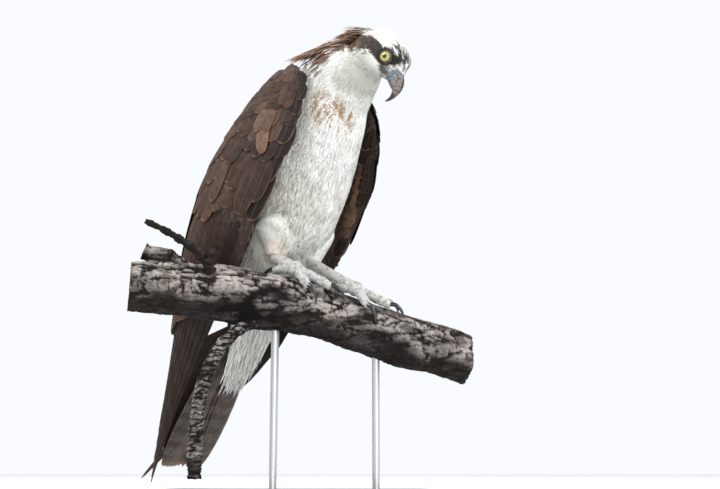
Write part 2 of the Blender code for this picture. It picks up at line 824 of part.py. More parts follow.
# Twigs: points as distance along X, from the branch's axis towards the viewer, height above the grip
# and radius
TWIG_UP = (
    (-0.090, 0.026, -0.014, 0.0062),
    (-0.103, 0.034, 0.006, 0.0054),
    (-0.120, 0.036, 0.018, 0.0048),
    (-0.138, 0.036, 0.029, 0.0044),
    (-0.163, 0.034, 0.041, 0.0036),
)
TWIG_FORK = (
    (-0.094, 0.034, -0.004, 0.0042),
    (-0.089, 0.037, 0.006, 0.0040),
    (-0.083, 0.038, 0.016, 0.0040),
)
TWIG_DOWN = (
    (-0.043, 0.004, -0.064, 0.0082),
    (-0.062, 0.016, -0.078, 0.0072),
    (-0.080, 0.020, -0.098, 0.0080),
    (-0.092, 0.022, -0.126, 0.0084),
    (-0.099, 0.022, -0.154, 0.0084),
    (-0.103, 0.021, -0.200, 0.0086),
    (-0.103, 0.020, -0.242, 0.0082),
)
STUB = (
    (-0.100, -0.002, -0.022, 0.0150),
    (-0.135, 0.002, -0.002, 0.0140),
    (-0.170, 0.003, 0.012, 0.0110),
)
TWIG_RINGS = 0.12


def twig(name, rows, rings, bark):
    line = smooth_rows([(k / (len(rows) - 1), *row) for k, row in enumerate(rows)])

    def path(q):
        x, near, height, _ = line(q)
        centre = branch_axis(x)[0]
        return Vector((x, centre.y - near, GRIP.z + height))

    def radius(q):
        knot = 1 + TWIG_RINGS * math.sin(q * rings * 2.2)
        return line(q)[3] * knot

    return finish(name, tube(path, radius, 7, rings, flat_end=True), bark)


def build_twigs(bark, branch):
    up = twig("perch_twig_up", TWIG_UP, 16, bark)
    fork = twig("fork", TWIG_FORK, 7, bark)
    join(up, [fork])
    down = twig("perch_twig_down", TWIG_DOWN, 26, bark)
    stub = twig("perch_stub", STUB, 8, bark)
    for piece in (up, down, stub):
        cut_clear(piece, branch, gap=GAP * 2)


# Legs: hip as (down the body, towards the belly, to the side), heel as (forward, left, up), and the
# middle of the foot as (distance along X, turn round the branch in degrees)
LEGS = {
    RIGHT_SIDE: ((0.150, 0.012, -0.034), (-0.040, -0.036, 0.016), (-0.008, 12)),
    LEFT_SIDE: ((0.150, 0.012, 0.030), (-0.034, 0.016, 0.014), (0.060, 10)),
}
THIGH_SIZES = smooth_rows([(0.0, 0.020), (0.25, 0.028), (0.50, 0.0240), (0.75, 0.0185), (1.0, 0.0140)])
TARSUS_RADIUS = 0.0075
PALM_RADIUS = 0.0095
# Toes: turn from the branch's run towards the viewer at the start and at the end, in degrees, length
# and radius
TOES = (
    ("inner", -14, -2, 0.036, 0.0054),
    ("middle", 14, 24, 0.042, 0.0056),
    ("outer", 74, 50, 0.032, 0.0053),
    ("back", 205, 235, 0.026, 0.0054),
)
CLAW_RADIUS = 0.0031
CLAW_SUNK = 0.003
CLAW_BEND = math.radians(115)
CLAW_LEAN = math.radians(40)


def toe_path(start, turn_a, turn_b, length, radius):
    """A line over the bark from the foot's middle, which bends from one turn to the other."""
    x0, round0 = start[0], math.radians(start[1])
    stand = radius + GAP
    steps = 12
    places = [(x0, round0)]
    for k in range(steps):
        turn = math.radians(mix(turn_a, turn_b, (k + 0.5) / steps))
        x, around = places[-1]
        reach = branch_axis(x)[1] + stand
        step = length / steps
        places.append((x + math.cos(turn) * step, around + math.sin(turn) * step / reach))

    def path(q):
        k = min(int(q * steps), steps - 1)
        share = q * steps - k
        x = mix(places[k][0], places[k + 1][0], share)
        around = mix(places[k][1], places[k + 1][1], share)
        rise = 0.0045 * (1 - q) ** 2 + 0.0010 * math.sin(math.pi * q)
        return branch_point(x, around, stand + rise)

    return path, places[-1]


def build_foot(side, skin, horn, branch):
    """The palm with its four toes as one node, and each claw as its own, end face to end face."""
    tag = SIDE_NAMES[side]
    start = LEGS[side][2]
    middle = branch_point(start[0], math.radians(start[1]), PALM_RADIUS + 0.001)
    bm = bmesh.new()
    place = Matrix.Translation(middle)
    bmesh.ops.create_uvsphere(bm, u_segments=10, v_segments=7, radius=PALM_RADIUS, matrix=place)
    foot = finish("foot_" + tag, bm, skin)
    toes, claws = [], []
    for name, turn_a, turn_b, length, radius in TOES:
        path, end = toe_path(start, turn_a, turn_b, length, radius)

        def thickness(q, radius=radius):
            return radius * (1.08 - 0.22 * q + 0.07 * math.sin(q * 3 * math.tau))

        toes.append(finish("toe", tube(path, thickness, 7, 9), skin))
        tip = path(1.0)
        ahead = (path(1.0) - path(0.94)).normalized()
        out = (branch_point(*end, 0.02) - branch_point(*end, 0.0)).normalized()
        out = (out - ahead * out.dot(ahead)).normalized()
        bend_radius = CLAW_LENGTH / CLAW_BEND

        def claw_path(q, tip=tip, ahead=ahead, out=out, bend_radius=bend_radius):
            turn = CLAW_BEND * q - CLAW_LEAN
            reach = math.sin(turn) + math.sin(CLAW_LEAN)
            lift = math.cos(turn) - math.cos(CLAW_LEAN)
            return tip + ahead * (bend_radius * reach - CLAW_SUNK) + out * bend_radius * lift

        def claw_size(q):
            return CLAW_RADIUS * (1 - q) ** 0.75 + 0.0003

        claw = finish(f"claw_{tag}_{name}", tube(claw_path, claw_size, 6, 8), horn)
        claws.append(claw)
    join(foot, toes)
    cut_clear(foot, branch)
    for claw in claws:
        cut_clear(claw, foot, branch)
    return foot, claws


def thigh_of(side, white, torso):
    """The feathered leg from the flank to the heel."""
    hip, heel, _ = LEGS[side]
    top, low = body(*hip), bird(*heel)
    knee = mix(top, low, 0.45) + FORWARD * 0.006
    path = lambda q: (1 - q) ** 2 * top + 2 * q * (1 - q) * knee + q * q * low
    thigh = finish("thigh_" + SIDE_NAMES[side], tube(path, lambda q: THIGH_SIZES(q)[0], 14, 12), white)
    return cut_clear(thigh, torso)


def tarsus_of(side, skin, thigh, foot, torso):
    """The bare shank from inside the feathers of the heel down to the foot."""
    _, heel, start = LEGS[side]
    top = bird(*heel)
    low = branch_point(start[0], math.radians(start[1]), PALM_RADIUS + 0.001)
    path = lambda q: mix(top, low, q)
    size = lambda q: TARSUS_RADIUS * (1.05 - 0.15 * math.sin(math.pi * q))
    tarsus = finish("tarsus_" + SIDE_NAMES[side], tube(path, size, 10, 6), skin)
    return cut_clear(tarsus, thigh, foot, torso)


def build_stand(metal, paint, branch):
    """A flat base with round corners and two rods that carry the branch."""
    half_x, half_y = BASE_SIZE[0] / 2 - BASE_CORNER, BASE_SIZE[1] / 2 - BASE_CORNER
    bm = bmesh.new()
    bmesh.ops.create_circle(bm, cap_ends=True, segments=24, radius=BASE_CORNER)
    for vert in bm.verts:
        vert.co.x += math.copysign(half_x, vert.co.x + 1e-5)
        vert.co.y += math.copysign(half_y, vert.co.y + 1e-5)
    up = bmesh.ops.extrude_face_region(bm, geom=bm.faces[:])
    top = [v for v in up["geom"] if isinstance(v, bmesh.types.BMVert)]
    bmesh.ops.translate(bm, verts=top, vec=(0, 0, BASE_SIZE[2]))
    rim = [e for e in bm.edges if all(v.co.z > BASE_SIZE[2] / 2 for v in e.verts)]
    bmesh.ops.bevel(bm, geom=rim, offset=0.002, segments=2, profile=0.5, affect="EDGES", material=-1)
    base = finish("stand_base", bm, paint, smooth=False)
    rods = []
    for k, share in enumerate(ROD_SHARES):
        centre, radius = branch_axis(mix(*BRANCH_ENDS, share))
        height = centre.z - radius * 0.5
        bm = bmesh.new()
        low = BASE_SIZE[2] + GAP
        bmesh.ops.create_cone(
            bm,
            cap_ends=True,
            segments=16,
            radius1=ROD_RADIUS,
            radius2=ROD_RADIUS,
            depth=height - low,
            matrix=Matrix.Translation((centre.x, centre.y, (height + low) / 2)),
        )
        rod = finish(f"stand_rod_{k + 1}", bm, metal)
        rods.append(cut_clear(rod, branch))
    return base, rods


def main():
    clear_scene()
    white = material("white_feathers", (0.80, 0.79, 0.74), 0.85)
    brown = material("brown_feathers", (0.16, 0.10, 0.07), 0.75)
    horn = material("horn", (0.03, 0.03, 0.035), 0.30)
    skin = material("foot_skin", (0.62, 0.62, 0.58), 0.60)
    eye_mat = material("eye", (0.75, 0.65, 0.10), 0.08)
    bark = material("bark", (0.35, 0.32, 0.29), 0.90)
    paint = material("stand_paint", (0.05, 0.05, 0.05), 0.45)
    metal = material("stand_steel", (0.55, 0.55, 0.56), 0.30, 1.0)

    torso, neck = build_trunk(white)
    build_head(white, horn, eye_mat, neck, torso)
    thighs = {side: thigh_of(side, white, torso) for side in SIDE_NAMES}
    for side in SIDE_NAMES:
        build_wing(side, brown, torso, neck, thighs[side])
    build_tail(brown, torso)
    branch = build_branch(bark)
    build_twigs(bark, branch)
    for side in SIDE_NAMES:
        foot, _ = build_foot(side, skin, horn, branch)
        tarsus_of(side, skin, thighs[side], foot, torso)
    build_stand(metal, paint, branch)


main()
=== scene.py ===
# %% [markdown]
# # An osprey on a cut branch
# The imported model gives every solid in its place: a bird that grips a short cut branch, on a plain
# stand. This lesson dresses it. A bird is mostly feathers, so most of the work is in making a few good
# feather shapes and laying them along the body the way they grow. Horn, scaly skin, eyes and bark
# follow. Each step says what the real thing is, how it could be made, and why this way was taken.

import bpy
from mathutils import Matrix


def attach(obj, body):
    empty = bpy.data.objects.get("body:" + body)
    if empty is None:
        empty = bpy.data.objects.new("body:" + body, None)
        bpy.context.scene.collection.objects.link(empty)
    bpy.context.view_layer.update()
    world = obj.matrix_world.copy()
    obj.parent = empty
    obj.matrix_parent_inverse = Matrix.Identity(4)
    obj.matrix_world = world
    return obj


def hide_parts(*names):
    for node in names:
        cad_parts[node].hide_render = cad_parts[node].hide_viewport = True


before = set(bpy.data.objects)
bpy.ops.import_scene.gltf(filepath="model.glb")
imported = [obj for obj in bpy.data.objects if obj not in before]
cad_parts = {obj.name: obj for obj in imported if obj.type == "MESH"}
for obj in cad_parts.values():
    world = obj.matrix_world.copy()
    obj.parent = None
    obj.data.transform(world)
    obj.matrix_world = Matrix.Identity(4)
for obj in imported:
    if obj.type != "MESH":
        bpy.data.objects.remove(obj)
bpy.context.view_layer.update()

# %% Modules
import math

import bmesh
import bpy
import numpy as np
from mathutils import Matrix, Vector, bvhtree, noise
from mathutils.kdtree import KDTree

rng = np.random.default_rng(7)

# %% [markdown]
# ## The pose, in numbers
# The solids were worked out from a few driving sizes. The same sizes are repeated here, so that a
# feather can be set on the wing by saying how far down the wing and how far across it grows. The
# functions take arrays, because they are asked for hundreds of thousands of points.

# %% Driving sizes of the pose, in metres and degrees
GRIP = np.array((0.030, -0.025, 0.270))
FACING = math.radians(45)
LEAN = math.radians(61.5)
NECK_F, NECK_U = 0.017, 0.203
HEAD_YAW = math.radians(62)
HEAD_PITCH = math.radians(58)
HEAD_PLACE = (0.105, 0.0155, 0.239)
GAP = 0.0003
FORWARD = np.array((math.sin(FACING), -math.cos(FACING), 0))
LEFT = np.array((math.cos(FACING), math.sin(FACING), 0))
UP = np.array((0.0, 0.0, 1.0))
RIGHT_SIDE, LEFT_SIDE = -1, 1
SIDES = {RIGHT_SIDE: "r", LEFT_SIDE: "l"}


def mix(a, b, share):
    return a + (b - a) * share


def unit(vectors):
    return vectors / np.maximum(np.linalg.norm(vectors, axis=-1, keepdims=True), 1e-12)


def ease(value, low, high):
    """0 below low, 1 above high and a soft step between."""
    q = np.clip((value - low) / (high - low), 0, 1)
    return q * q * (3 - 2 * q)


def smooth_rows(rows):
    """A smooth function through rows of (place, value, value, ...), flat outside them."""
    places = np.array([row[0] for row in rows], float)
    values = np.array([row[1:] for row in rows], float)
    slopes = np.gradient(values, places, axis=0)

    def at(place):
        place = np.clip(np.asarray(place, float), places[0], places[-1])
        k = np.clip(np.searchsorted(places, place, side="right") - 1, 0, len(places) - 2)
        step = (places[k + 1] - places[k])[..., None]
        q = (place - places[k])[..., None] / step
        ends = (2 * q**3 - 3 * q**2 + 1) * values[k] + (3 * q**2 - 2 * q**3) * values[k + 1]
        bends = (q**3 - 2 * q**2 + q) * slopes[k] + (q**3 - q**2) * slopes[k + 1]
        return tuple(np.moveaxis(ends + bends * step, -1, 0))

    return at


def spot(origin, axes, *distances):
    """The point at the given distances from the origin along three axes."""
    parts = np.broadcast_arrays(*distances)
    return origin + sum(part[..., None] * axis for part, axis in zip(parts, axes))


def bird(f, l, u):
    """A point from its distances forward, to the left and up from the grip."""
    return spot(GRIP, (FORWARD, LEFT, UP), f, l, u)


DOWN_BODY = -FORWARD * math.cos(LEAN) - UP * math.sin(LEAN)
BELLYWARD = FORWARD * math.sin(LEAN) - UP * math.cos(LEAN)
NECK_BASE = bird(NECK_F, 0, NECK_U)


def body(s, w, l):
    """A point s down the body from the neck's base, w towards the belly and l to the left."""
    return spot(NECK_BASE, (DOWN_BODY, BELLYWARD, LEFT), s, w, l)


HEAD_FORWARD = np.array(
    (
        math.sin(HEAD_YAW) * math.cos(HEAD_PITCH),
        -math.cos(HEAD_YAW) * math.cos(HEAD_PITCH),
        -math.sin(HEAD_PITCH),
    )
)
HEAD_LEFT = np.array((math.cos(HEAD_YAW), math.sin(HEAD_YAW), 0))
HEAD_UP = np.cross(HEAD_FORWARD, HEAD_LEFT)
HEAD_AXES = (HEAD_FORWARD, HEAD_LEFT, HEAD_UP)
HEAD_MIDDLE = bird(*HEAD_PLACE)


def in_head(x, y, z):
    """A point from its distances towards the bill, to the left and up from between the eyes."""
    return spot(HEAD_MIDDLE, HEAD_AXES, x, y, z)


def read_in(points, origin, axes):
    """Turns points back into distances along the three axes."""
    return np.stack([(points - origin) @ axis for axis in axes], -1)


# %% [markdown]
# ## The forms under the feathers
# These are the same bodies of revolution that the solids were made from: trunk and neck in one, the
# skull, the upper legs, and each folded wing as a shell round the flank.

# %% Trunk, neck and head
TRUNK = smooth_rows(
    [
        (0.000, -0.004, 0.054, 0.051),
        (0.050, -0.010, 0.069, 0.061),
        (0.100, -0.012, 0.075, 0.064),
        (0.155, -0.013, 0.071, 0.060),
        (0.210, -0.015, 0.059, 0.051),
        (0.260, -0.012, 0.043, 0.041),
        (0.300, -0.002, 0.024, 0.031),
        (0.340, 0.000, 0.012, 0.022),
        (0.370, -0.004, 0.006, 0.013),
    ]
)
TRUNK_END = 0.385
NECK = smooth_rows(
    [
        (0.0, 0.013, 0.000, 0.206, 0.054, 0.051),
        (0.4, 0.033, 0.003, 0.231, 0.052, 0.045),
        (0.8, 0.057, 0.007, 0.248, 0.0405, 0.038),
        (1.0, 0.071, 0.010, 0.254, 0.025, 0.029),
    ]
)
NECK_TURN = math.radians(30)
NECK_RINGS = 0.26
HEAD = smooth_rows(
    [
        (-0.0520, -0.020, 0.001, 0.001, 0.001),
        (-0.0480, -0.0175, 0.0115, 0.015, 0.0120),
        (-0.0430, -0.013, 0.0170, 0.0240, 0.0170),
        (-0.0320, -0.007, 0.0235, 0.034, 0.0240),
        (-0.0160, -0.002, 0.0225, 0.032, 0.0275),
        (0.0000, -0.002, 0.0210, 0.027, 0.0260),
        (0.0100, -0.002, 0.0205, 0.0220, 0.0212),
        (0.0180, -0.003, 0.0190, 0.0175, 0.0130),
        (0.0250, -0.004, 0.0130, 0.0115, 0.0080),
        (0.0300, -0.005, 0.0060, 0.0060, 0.0038),
    ]
)
HEAD_BACK, HEAD_FRONT = -0.0525, 0.0305
BROW = (0.0050, 0.0085)
BROW_RISE = 0.0022
EYE_PLACE = (0.0050, 0.0178, -0.0015)
EYE_RADIUS, LID_RADIUS = 0.0083, 0.0066


def at_pole(share):
    return (share < 1e-6) | (share > 1 - 1e-6)


def trunk_surface(share, angle):
    """The neck takes the first part of the share, the body the rest."""
    q = 1 - share / NECK_RINGS
    f, l, u, depth, width = NECK(q)
    slope = LEAN - NECK_TURN * q
    front = np.sin(slope)[..., None] * FORWARD - np.cos(slope)[..., None] * UP
    inside = np.where(share < 1e-6, 0, 1)[..., None]
    round_neck = (depth * np.cos(angle))[..., None] * front + (width * np.sin(angle))[..., None] * LEFT
    neck = bird(f, l, u) + round_neck * inside + (1 - inside) * (FORWARD * 0.004 + UP * 0.002)
    s = TRUNK_END * np.clip((share - NECK_RINGS) / (1 - NECK_RINGS), 0, 1) ** 0.95
    w, depth, width = TRUNK(s)
    closed = np.where(share > 1 - 1e-6, 0, 1)
    trunk = body(s, w + depth * np.cos(angle) * closed, width * np.sin(angle) * closed)
    return np.where((share < NECK_RINGS)[..., None], neck, trunk)


def head_surface(share, angle):
    x = mix(HEAD_BACK, HEAD_FRONT, (1 - np.cos(share * math.pi)) / 2)
    middle, above, below, width = HEAD(x)
    open_ring = np.where(at_pole(share), 0, 1)
    z = np.where(np.sin(angle) > 0, above, below) * np.sin(angle) * open_ring
    y = width * np.cos(angle) * open_ring
    near = np.hypot((x - BROW[0]) / 0.013, (middle + z - BROW[1]) / 0.005)
    return in_head(x, y * (1 + BROW_RISE / width * np.exp(-near * near)), middle + z)


# %% Wings
WING = smooth_rows(
    [
        (-0.034, -0.030, 0.046, -0.036, 0.052, -0.041, 0.044),
        (-0.027, -0.013, 0.049, -0.029, 0.072, -0.048, 0.040),
        (-0.015, 0.006, 0.054, -0.029, 0.095, -0.062, 0.034),
        (0.000, 0.019, 0.060, -0.034, 0.112, -0.074, 0.028),
        (0.030, 0.033, 0.066, -0.044, 0.132, -0.086, 0.024),
        (0.060, 0.039, 0.071, -0.053, 0.142, -0.094, 0.021),
        (0.130, 0.034, 0.074, -0.062, 0.149, -0.099, 0.018),
        (0.200, 0.025, 0.070, -0.067, 0.141, -0.096, 0.015),
        (0.260, 0.006, 0.063, -0.070, 0.127, -0.091, 0.013),
        (0.340, -0.012, 0.058, -0.070, 0.103, -0.083, 0.010),
        (0.440, -0.034, 0.052, -0.065, 0.067, -0.078, 0.010),
        (0.560, -0.052, 0.037, -0.063, 0.032, -0.076, 0.010),
    ]
)
SWELL = smooth_rows(
    [
        (-0.034, -0.0030),
        (-0.015, -0.0055),
        (0.020, -0.0065),
        (0.060, -0.0040),
        (0.100, 0.0005),
        (0.140, 0.0042),
        (0.200, 0.0055),
        (0.260, 0.0040),
        (0.340, 0.0010),
        (0.400, 0.0000),
    ]
)
CROSSING = smooth_rows(
    [
        (0.060, 0.000, 0.000),
        (0.130, -0.007, 0.000),
        (0.200, -0.011, 0.000),
        (0.280, -0.017, 0.001),
        (0.340, -0.018, 0.005),
        (0.400, -0.003, 0.011),
        (0.470, 0.033, 0.018),
        (0.560, 0.068, 0.022),
    ]
)
WING_START, CORE_END = -0.034, 0.310
CORE_FALL = smooth_rows(
    [(-0.045, 0.0), (0.150, 0.0), (0.200, -0.003), (0.250, -0.009), (0.280, -0.012), (0.310, -0.013)]
)
CORE_THICK = smooth_rows(
    [(-0.045, 0.024), (0.030, 0.048), (0.120, 0.052), (0.200, 0.040), (0.260, 0.016), (0.310, 0.006)]
)


def wing_face(s, b):
    """A point of the wing's outer face, as (s, w, l): b goes across it from the front edge."""
    front_w, front_l, mid_w, mid_l, back_w, back_l = WING(s)
    turn = 2 * b * (1 - b)
    w = (1 - b) ** 2 * front_w + turn * mid_w + b * b * back_w
    l = (1 - b) ** 2 * front_l + turn * mid_l + b * b * back_l
    return np.stack(np.broadcast_arrays(s, w, l), -1)


def wing_point(s, b, height, side):
    """A point that stands off the wing's outer face by height."""
    along = wing_face(s + 0.004, b) - wing_face(s - 0.004, b)
    across = wing_face(s, b + 0.01) - wing_face(s, b - 0.01)
    normal = unit(np.cross(along, across))
    inward = (normal[..., 2] < 0) & (np.abs(normal[..., 2]) > 0.05)
    normal = np.where(inward[..., None], -normal, normal)
    shift, back = CROSSING(s) if side == LEFT_SIDE else (0.0, 0.0)
    swell = SWELL(s)[0] * np.sin(math.pi * np.clip(b, 0, 1)) if side == RIGHT_SIDE else 0.0
    place = wing_face(s, b) + normal * (np.asarray(height) + swell)[..., None]
    return body(place[..., 0], place[..., 1] - back, side * place[..., 2] - shift)


def wing_surface(side):
    def surface(share, angle):
        s = mix(WING_START, CORE_END, (1 - np.cos(share * math.pi)) / 2 * 0.75 + share * 0.25)
        turn = (angle % math.tau) / math.tau
        b = np.where(turn <= 0.5, 2 * turn, 2 - 2 * turn)
        (thick,) = CORE_THICK(s)
        (fall,) = CORE_FALL(s)
        inner = np.where(turn <= 0.5, 0.0, thick * np.abs(np.sin(math.pi * b)) ** 0.6)
        inner = np.where(at_pole(share), thick / 2, inner)
        return wing_point(s, np.where(at_pole(share), 0.5, b), fall - inner, side)

    return surface


# %% Legs, tail and branch
LEGS = {
    RIGHT_SIDE: ((0.150, 0.012, -0.034), (-0.040, -0.036, 0.016), (-0.008, 12)),
    LEFT_SIDE: ((0.150, 0.012, 0.030), (-0.034, 0.016, 0.014), (0.060, 10)),
}
THIGH_SIZES = smooth_rows([(0.0, 0.020), (0.25, 0.028), (0.50, 0.0240), (0.75, 0.0185), (1.0, 0.0140)])
TAIL_ROOT, TAIL_LENGTH = 0.285, 0.238
TAIL_LINE = smooth_rows(
    [(0.255, -0.008), (0.300, -0.014), (0.340, -0.021), (0.400, -0.031), (0.530, -0.054)]
)
BRANCH = smooth_rows(
    [
        (-0.184, 0.2420, 0.0285),
        (-0.100, 0.2385, 0.0320),
        (-0.020, 0.2285, 0.0330),
        (0.050, 0.2115, 0.0300),
        (0.120, 0.1905, 0.0310),
        (0.205, 0.1660, 0.0295),
    ]
)
BRANCH_ENDS = (-0.184, 0.205)
BRANCH_YAW = math.radians(12)
KNOBS = 0.0014


def leg_line(side):
    """The line of the feathered leg from the hip to the heel."""
    hip, heel, _ = LEGS[side]
    top, low = body(*hip), bird(*heel)
    knee = mix(top, low, 0.45) + FORWARD * 0.006

    def path(q):
        q = np.asarray(q)[..., None]
        return (1 - q) ** 2 * top + 2 * q * (1 - q) * knee + q * q * low

    return path


def branch_axis(x):
    z, radius = BRANCH(x)
    y = GRIP[1] + (x - GRIP[0]) * math.tan(BRANCH_YAW)
    return np.stack(np.broadcast_arrays(x, y, z), -1), radius


def branch_point(x, turn, height):
    """A point on the bark at x; turn is 0 on top and grows towards the viewer's side."""
    centre, radius = branch_axis(x)
    ahead = unit(branch_axis(x + 0.004)[0] - branch_axis(x - 0.004)[0])
    near = unit(np.cross(ahead, UP))
    top = unit(np.cross(near, ahead))
    reach = (radius + height)[..., None]
    return centre + reach * (np.cos(turn)[..., None] * top + np.sin(turn)[..., None] * near)


# %% [markdown]
# ## Building from a sphere
# A trunk, a skull, a toe and even one feather are all the same thing to a modeller: a closed skin
# with two ends. So each starts as a sphere from the operator, and a function moves its points. The
# poles stay closed by themselves, and nothing has to be stitched.

# %% Blobs and rods
def blob(sides, rings, surface):
    bm = bmesh.new()
    bmesh.ops.create_uvsphere(bm, u_segments=sides, v_segments=rings, radius=1)
    ball = np.array([vert.co for vert in bm.verts])
    share = np.arccos(np.clip(ball[:, 2], -1, 1)) / math.pi
    angle = np.arctan2(ball[:, 1], ball[:, 0])
    for vert, place in zip(bm.verts, surface(share, angle)):
        vert.co = place
    return bm


def rod(path, radius, sides, rings, roundness=0.6, swell=None):
    """A round rod along path(q) of radius(q); swell(q, angle) raises its skin."""
    first, last = 1 / rings, 1 - 1 / rings
    ends = path(np.array((0.0, 0.25, 0.5, 0.75, 1.0)))
    runs = unit(np.diff(ends, axis=0))
    aside = min((UP, FORWARD, LEFT), key=lambda axis: np.abs(runs @ axis).max())

    def surface(share, angle):
        inner = (share - first) / (last - first)
        q = np.clip(inner, 0, 1)
        here = path(q)
        ahead = unit(path(np.minimum(q + 0.01, 1)) - path(np.maximum(q - 0.01, 0)))
        across = unit(np.cross(ahead, aside))
        other = np.cross(ahead, across)
        size = radius(q)
        thick = size if swell is None else size + swell(q, angle)
        ring = np.cos(angle)[..., None] * across + np.sin(angle)[..., None] * other
        cap = np.where(inner < -1e-6, -1, np.where(inner > 1 + 1e-6, 1, 0))
        inside = np.where(cap == 0, thick, 0)[..., None]
        return here + ring * inside + ahead * (cap * size * roundness)[..., None]

    return blob(sides, rings, surface)


def finish_mesh(name, bm):
    """Makes a bmesh an object at the origin, with its faces pointing out."""
    bm.normal_update()
    bmesh.ops.recalc_face_normals(bm, faces=bm.faces)
    mesh = bpy.data.meshes.new(name)
    bm.to_mesh(mesh)
    bm.free()
    mesh.shade_smooth()
    obj = bpy.data.objects.new(name, mesh)
    bpy.context.scene.collection.objects.link(obj)
    return obj


def as_made(obj):
    """Replaces the object's mesh with its mesh as the modifiers make it."""
    bpy.context.view_layer.update()
    graph = bpy.context.evaluated_depsgraph_get()
    made = bpy.data.meshes.new_from_object(obj.evaluated_get(graph))
    obj.modifiers.clear()
    obj.data = made
    made.shade_smooth()
    return obj


def gather(name, parts):
    """Puts several bmeshes into one object."""
    whole = bmesh.new()
    for part in parts:
        piece = bpy.data.meshes.new("part")
        part.to_mesh(piece)
        part.free()
        whole.from_mesh(piece)
        bpy.data.meshes.remove(piece)
    return finish_mesh(name, whole)


def fuse(obj, voxel, smoothing):
    """Melts overlapping closed forms into one skin."""
    melt = obj.modifiers.new("melt", "REMESH")
    melt.mode = "VOXEL"
    melt.voxel_size = voxel
    calm = obj.modifiers.new("calm", "SMOOTH")
    calm.factor = 0.5
    calm.iterations = smoothing
    return as_made(obj)


def vertices_of(obj):
    places = np.empty(len(obj.data.vertices) * 3)
    obj.data.vertices.foreach_get("co", places)
    return places.reshape(-1, 3)


def move_vertices(obj, places):
    obj.data.vertices.foreach_set("co", np.ascontiguousarray(places, float).ravel())
    obj.data.update()


def vertex_normals(obj):
    normals = np.empty(len(obj.data.vertices) * 3)
    obj.data.vertex_normals.foreach_get("vector", normals)
    return normals.reshape(-1, 3)


def paint(obj, name, colours):
    """Stores one colour a vertex, which the finish reads by name."""
    layer = obj.data.attributes.new(name, "FLOAT_COLOR", "POINT")
    rgba = np.concatenate([colours, np.ones((len(colours), 1))], 1)
    layer.data.foreach_set("color", rgba.ravel())


def dress(obj, finish, slot, *nodes):
    """Gives a piece its finish, hangs it under the root and hides the solids that it stands for."""
    obj.data.materials.clear()
    obj.data.materials.append(finish.material)
    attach(obj, "root")
    if nodes:
        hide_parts(*nodes)
    print(obj.name, len(obj.data.polygons), "faces")
    return obj


def rough(points, scale, seed=0.0, octaves=3):
    """Layered noise between about -1 and 1 at each point, for shapes and markings."""
    shift = Vector((seed, seed * 1.7, -seed * 0.6))
    flat = np.asarray(points).reshape(-1, 3) * scale
    heights = [noise.fractal(Vector(p) + shift, 1.0, 2.0, octaves) for p in flat]
    return np.array(heights).reshape(np.shape(points)[:-1])


# %% [markdown]
# ## Writing finishes as sums
# A finish is a small network of nodes. Wiring them one by one hides the idea, so a value that comes
# out of a node is wrapped in a class that can be added and multiplied. Each sum then adds its own
# Math node. Every other node comes from one method that takes its type, settings and inputs.

# %% Values and finishes
class Value:
    """A number or colour that varies over a surface."""

    def __init__(self, finish, socket):
        self.finish = finish
        self.socket = socket

    def maths(self, operation, *values):
        numbered = dict(enumerate(values))
        return self.finish.node("ShaderNodeMath", {"operation": operation}, numbered)

    def __add__(self, other):
        return self.maths("ADD", self, other)

    def __sub__(self, other):
        return self.maths("SUBTRACT", self, other)

    def __rsub__(self, other):
        return self.maths("SUBTRACT", other, self)

    def __mul__(self, other):
        return self.maths("MULTIPLY", self, other)

    def __truediv__(self, other):
        return self.maths("DIVIDE", self, other)

    __radd__ = __add__
    __rmul__ = __mul__

    def size(self):
        return self.maths("ABSOLUTE", self)

    def wave(self):
        return self.maths("SINE", self)

    def step(self, low, high):
        """0 at low, 1 at high, with soft ends."""
        settings = {"interpolation_type": "SMOOTHSTEP"}
        return self.finish.node("ShaderNodeMapRange", settings, {"Value": self, 1: low, 2: high})


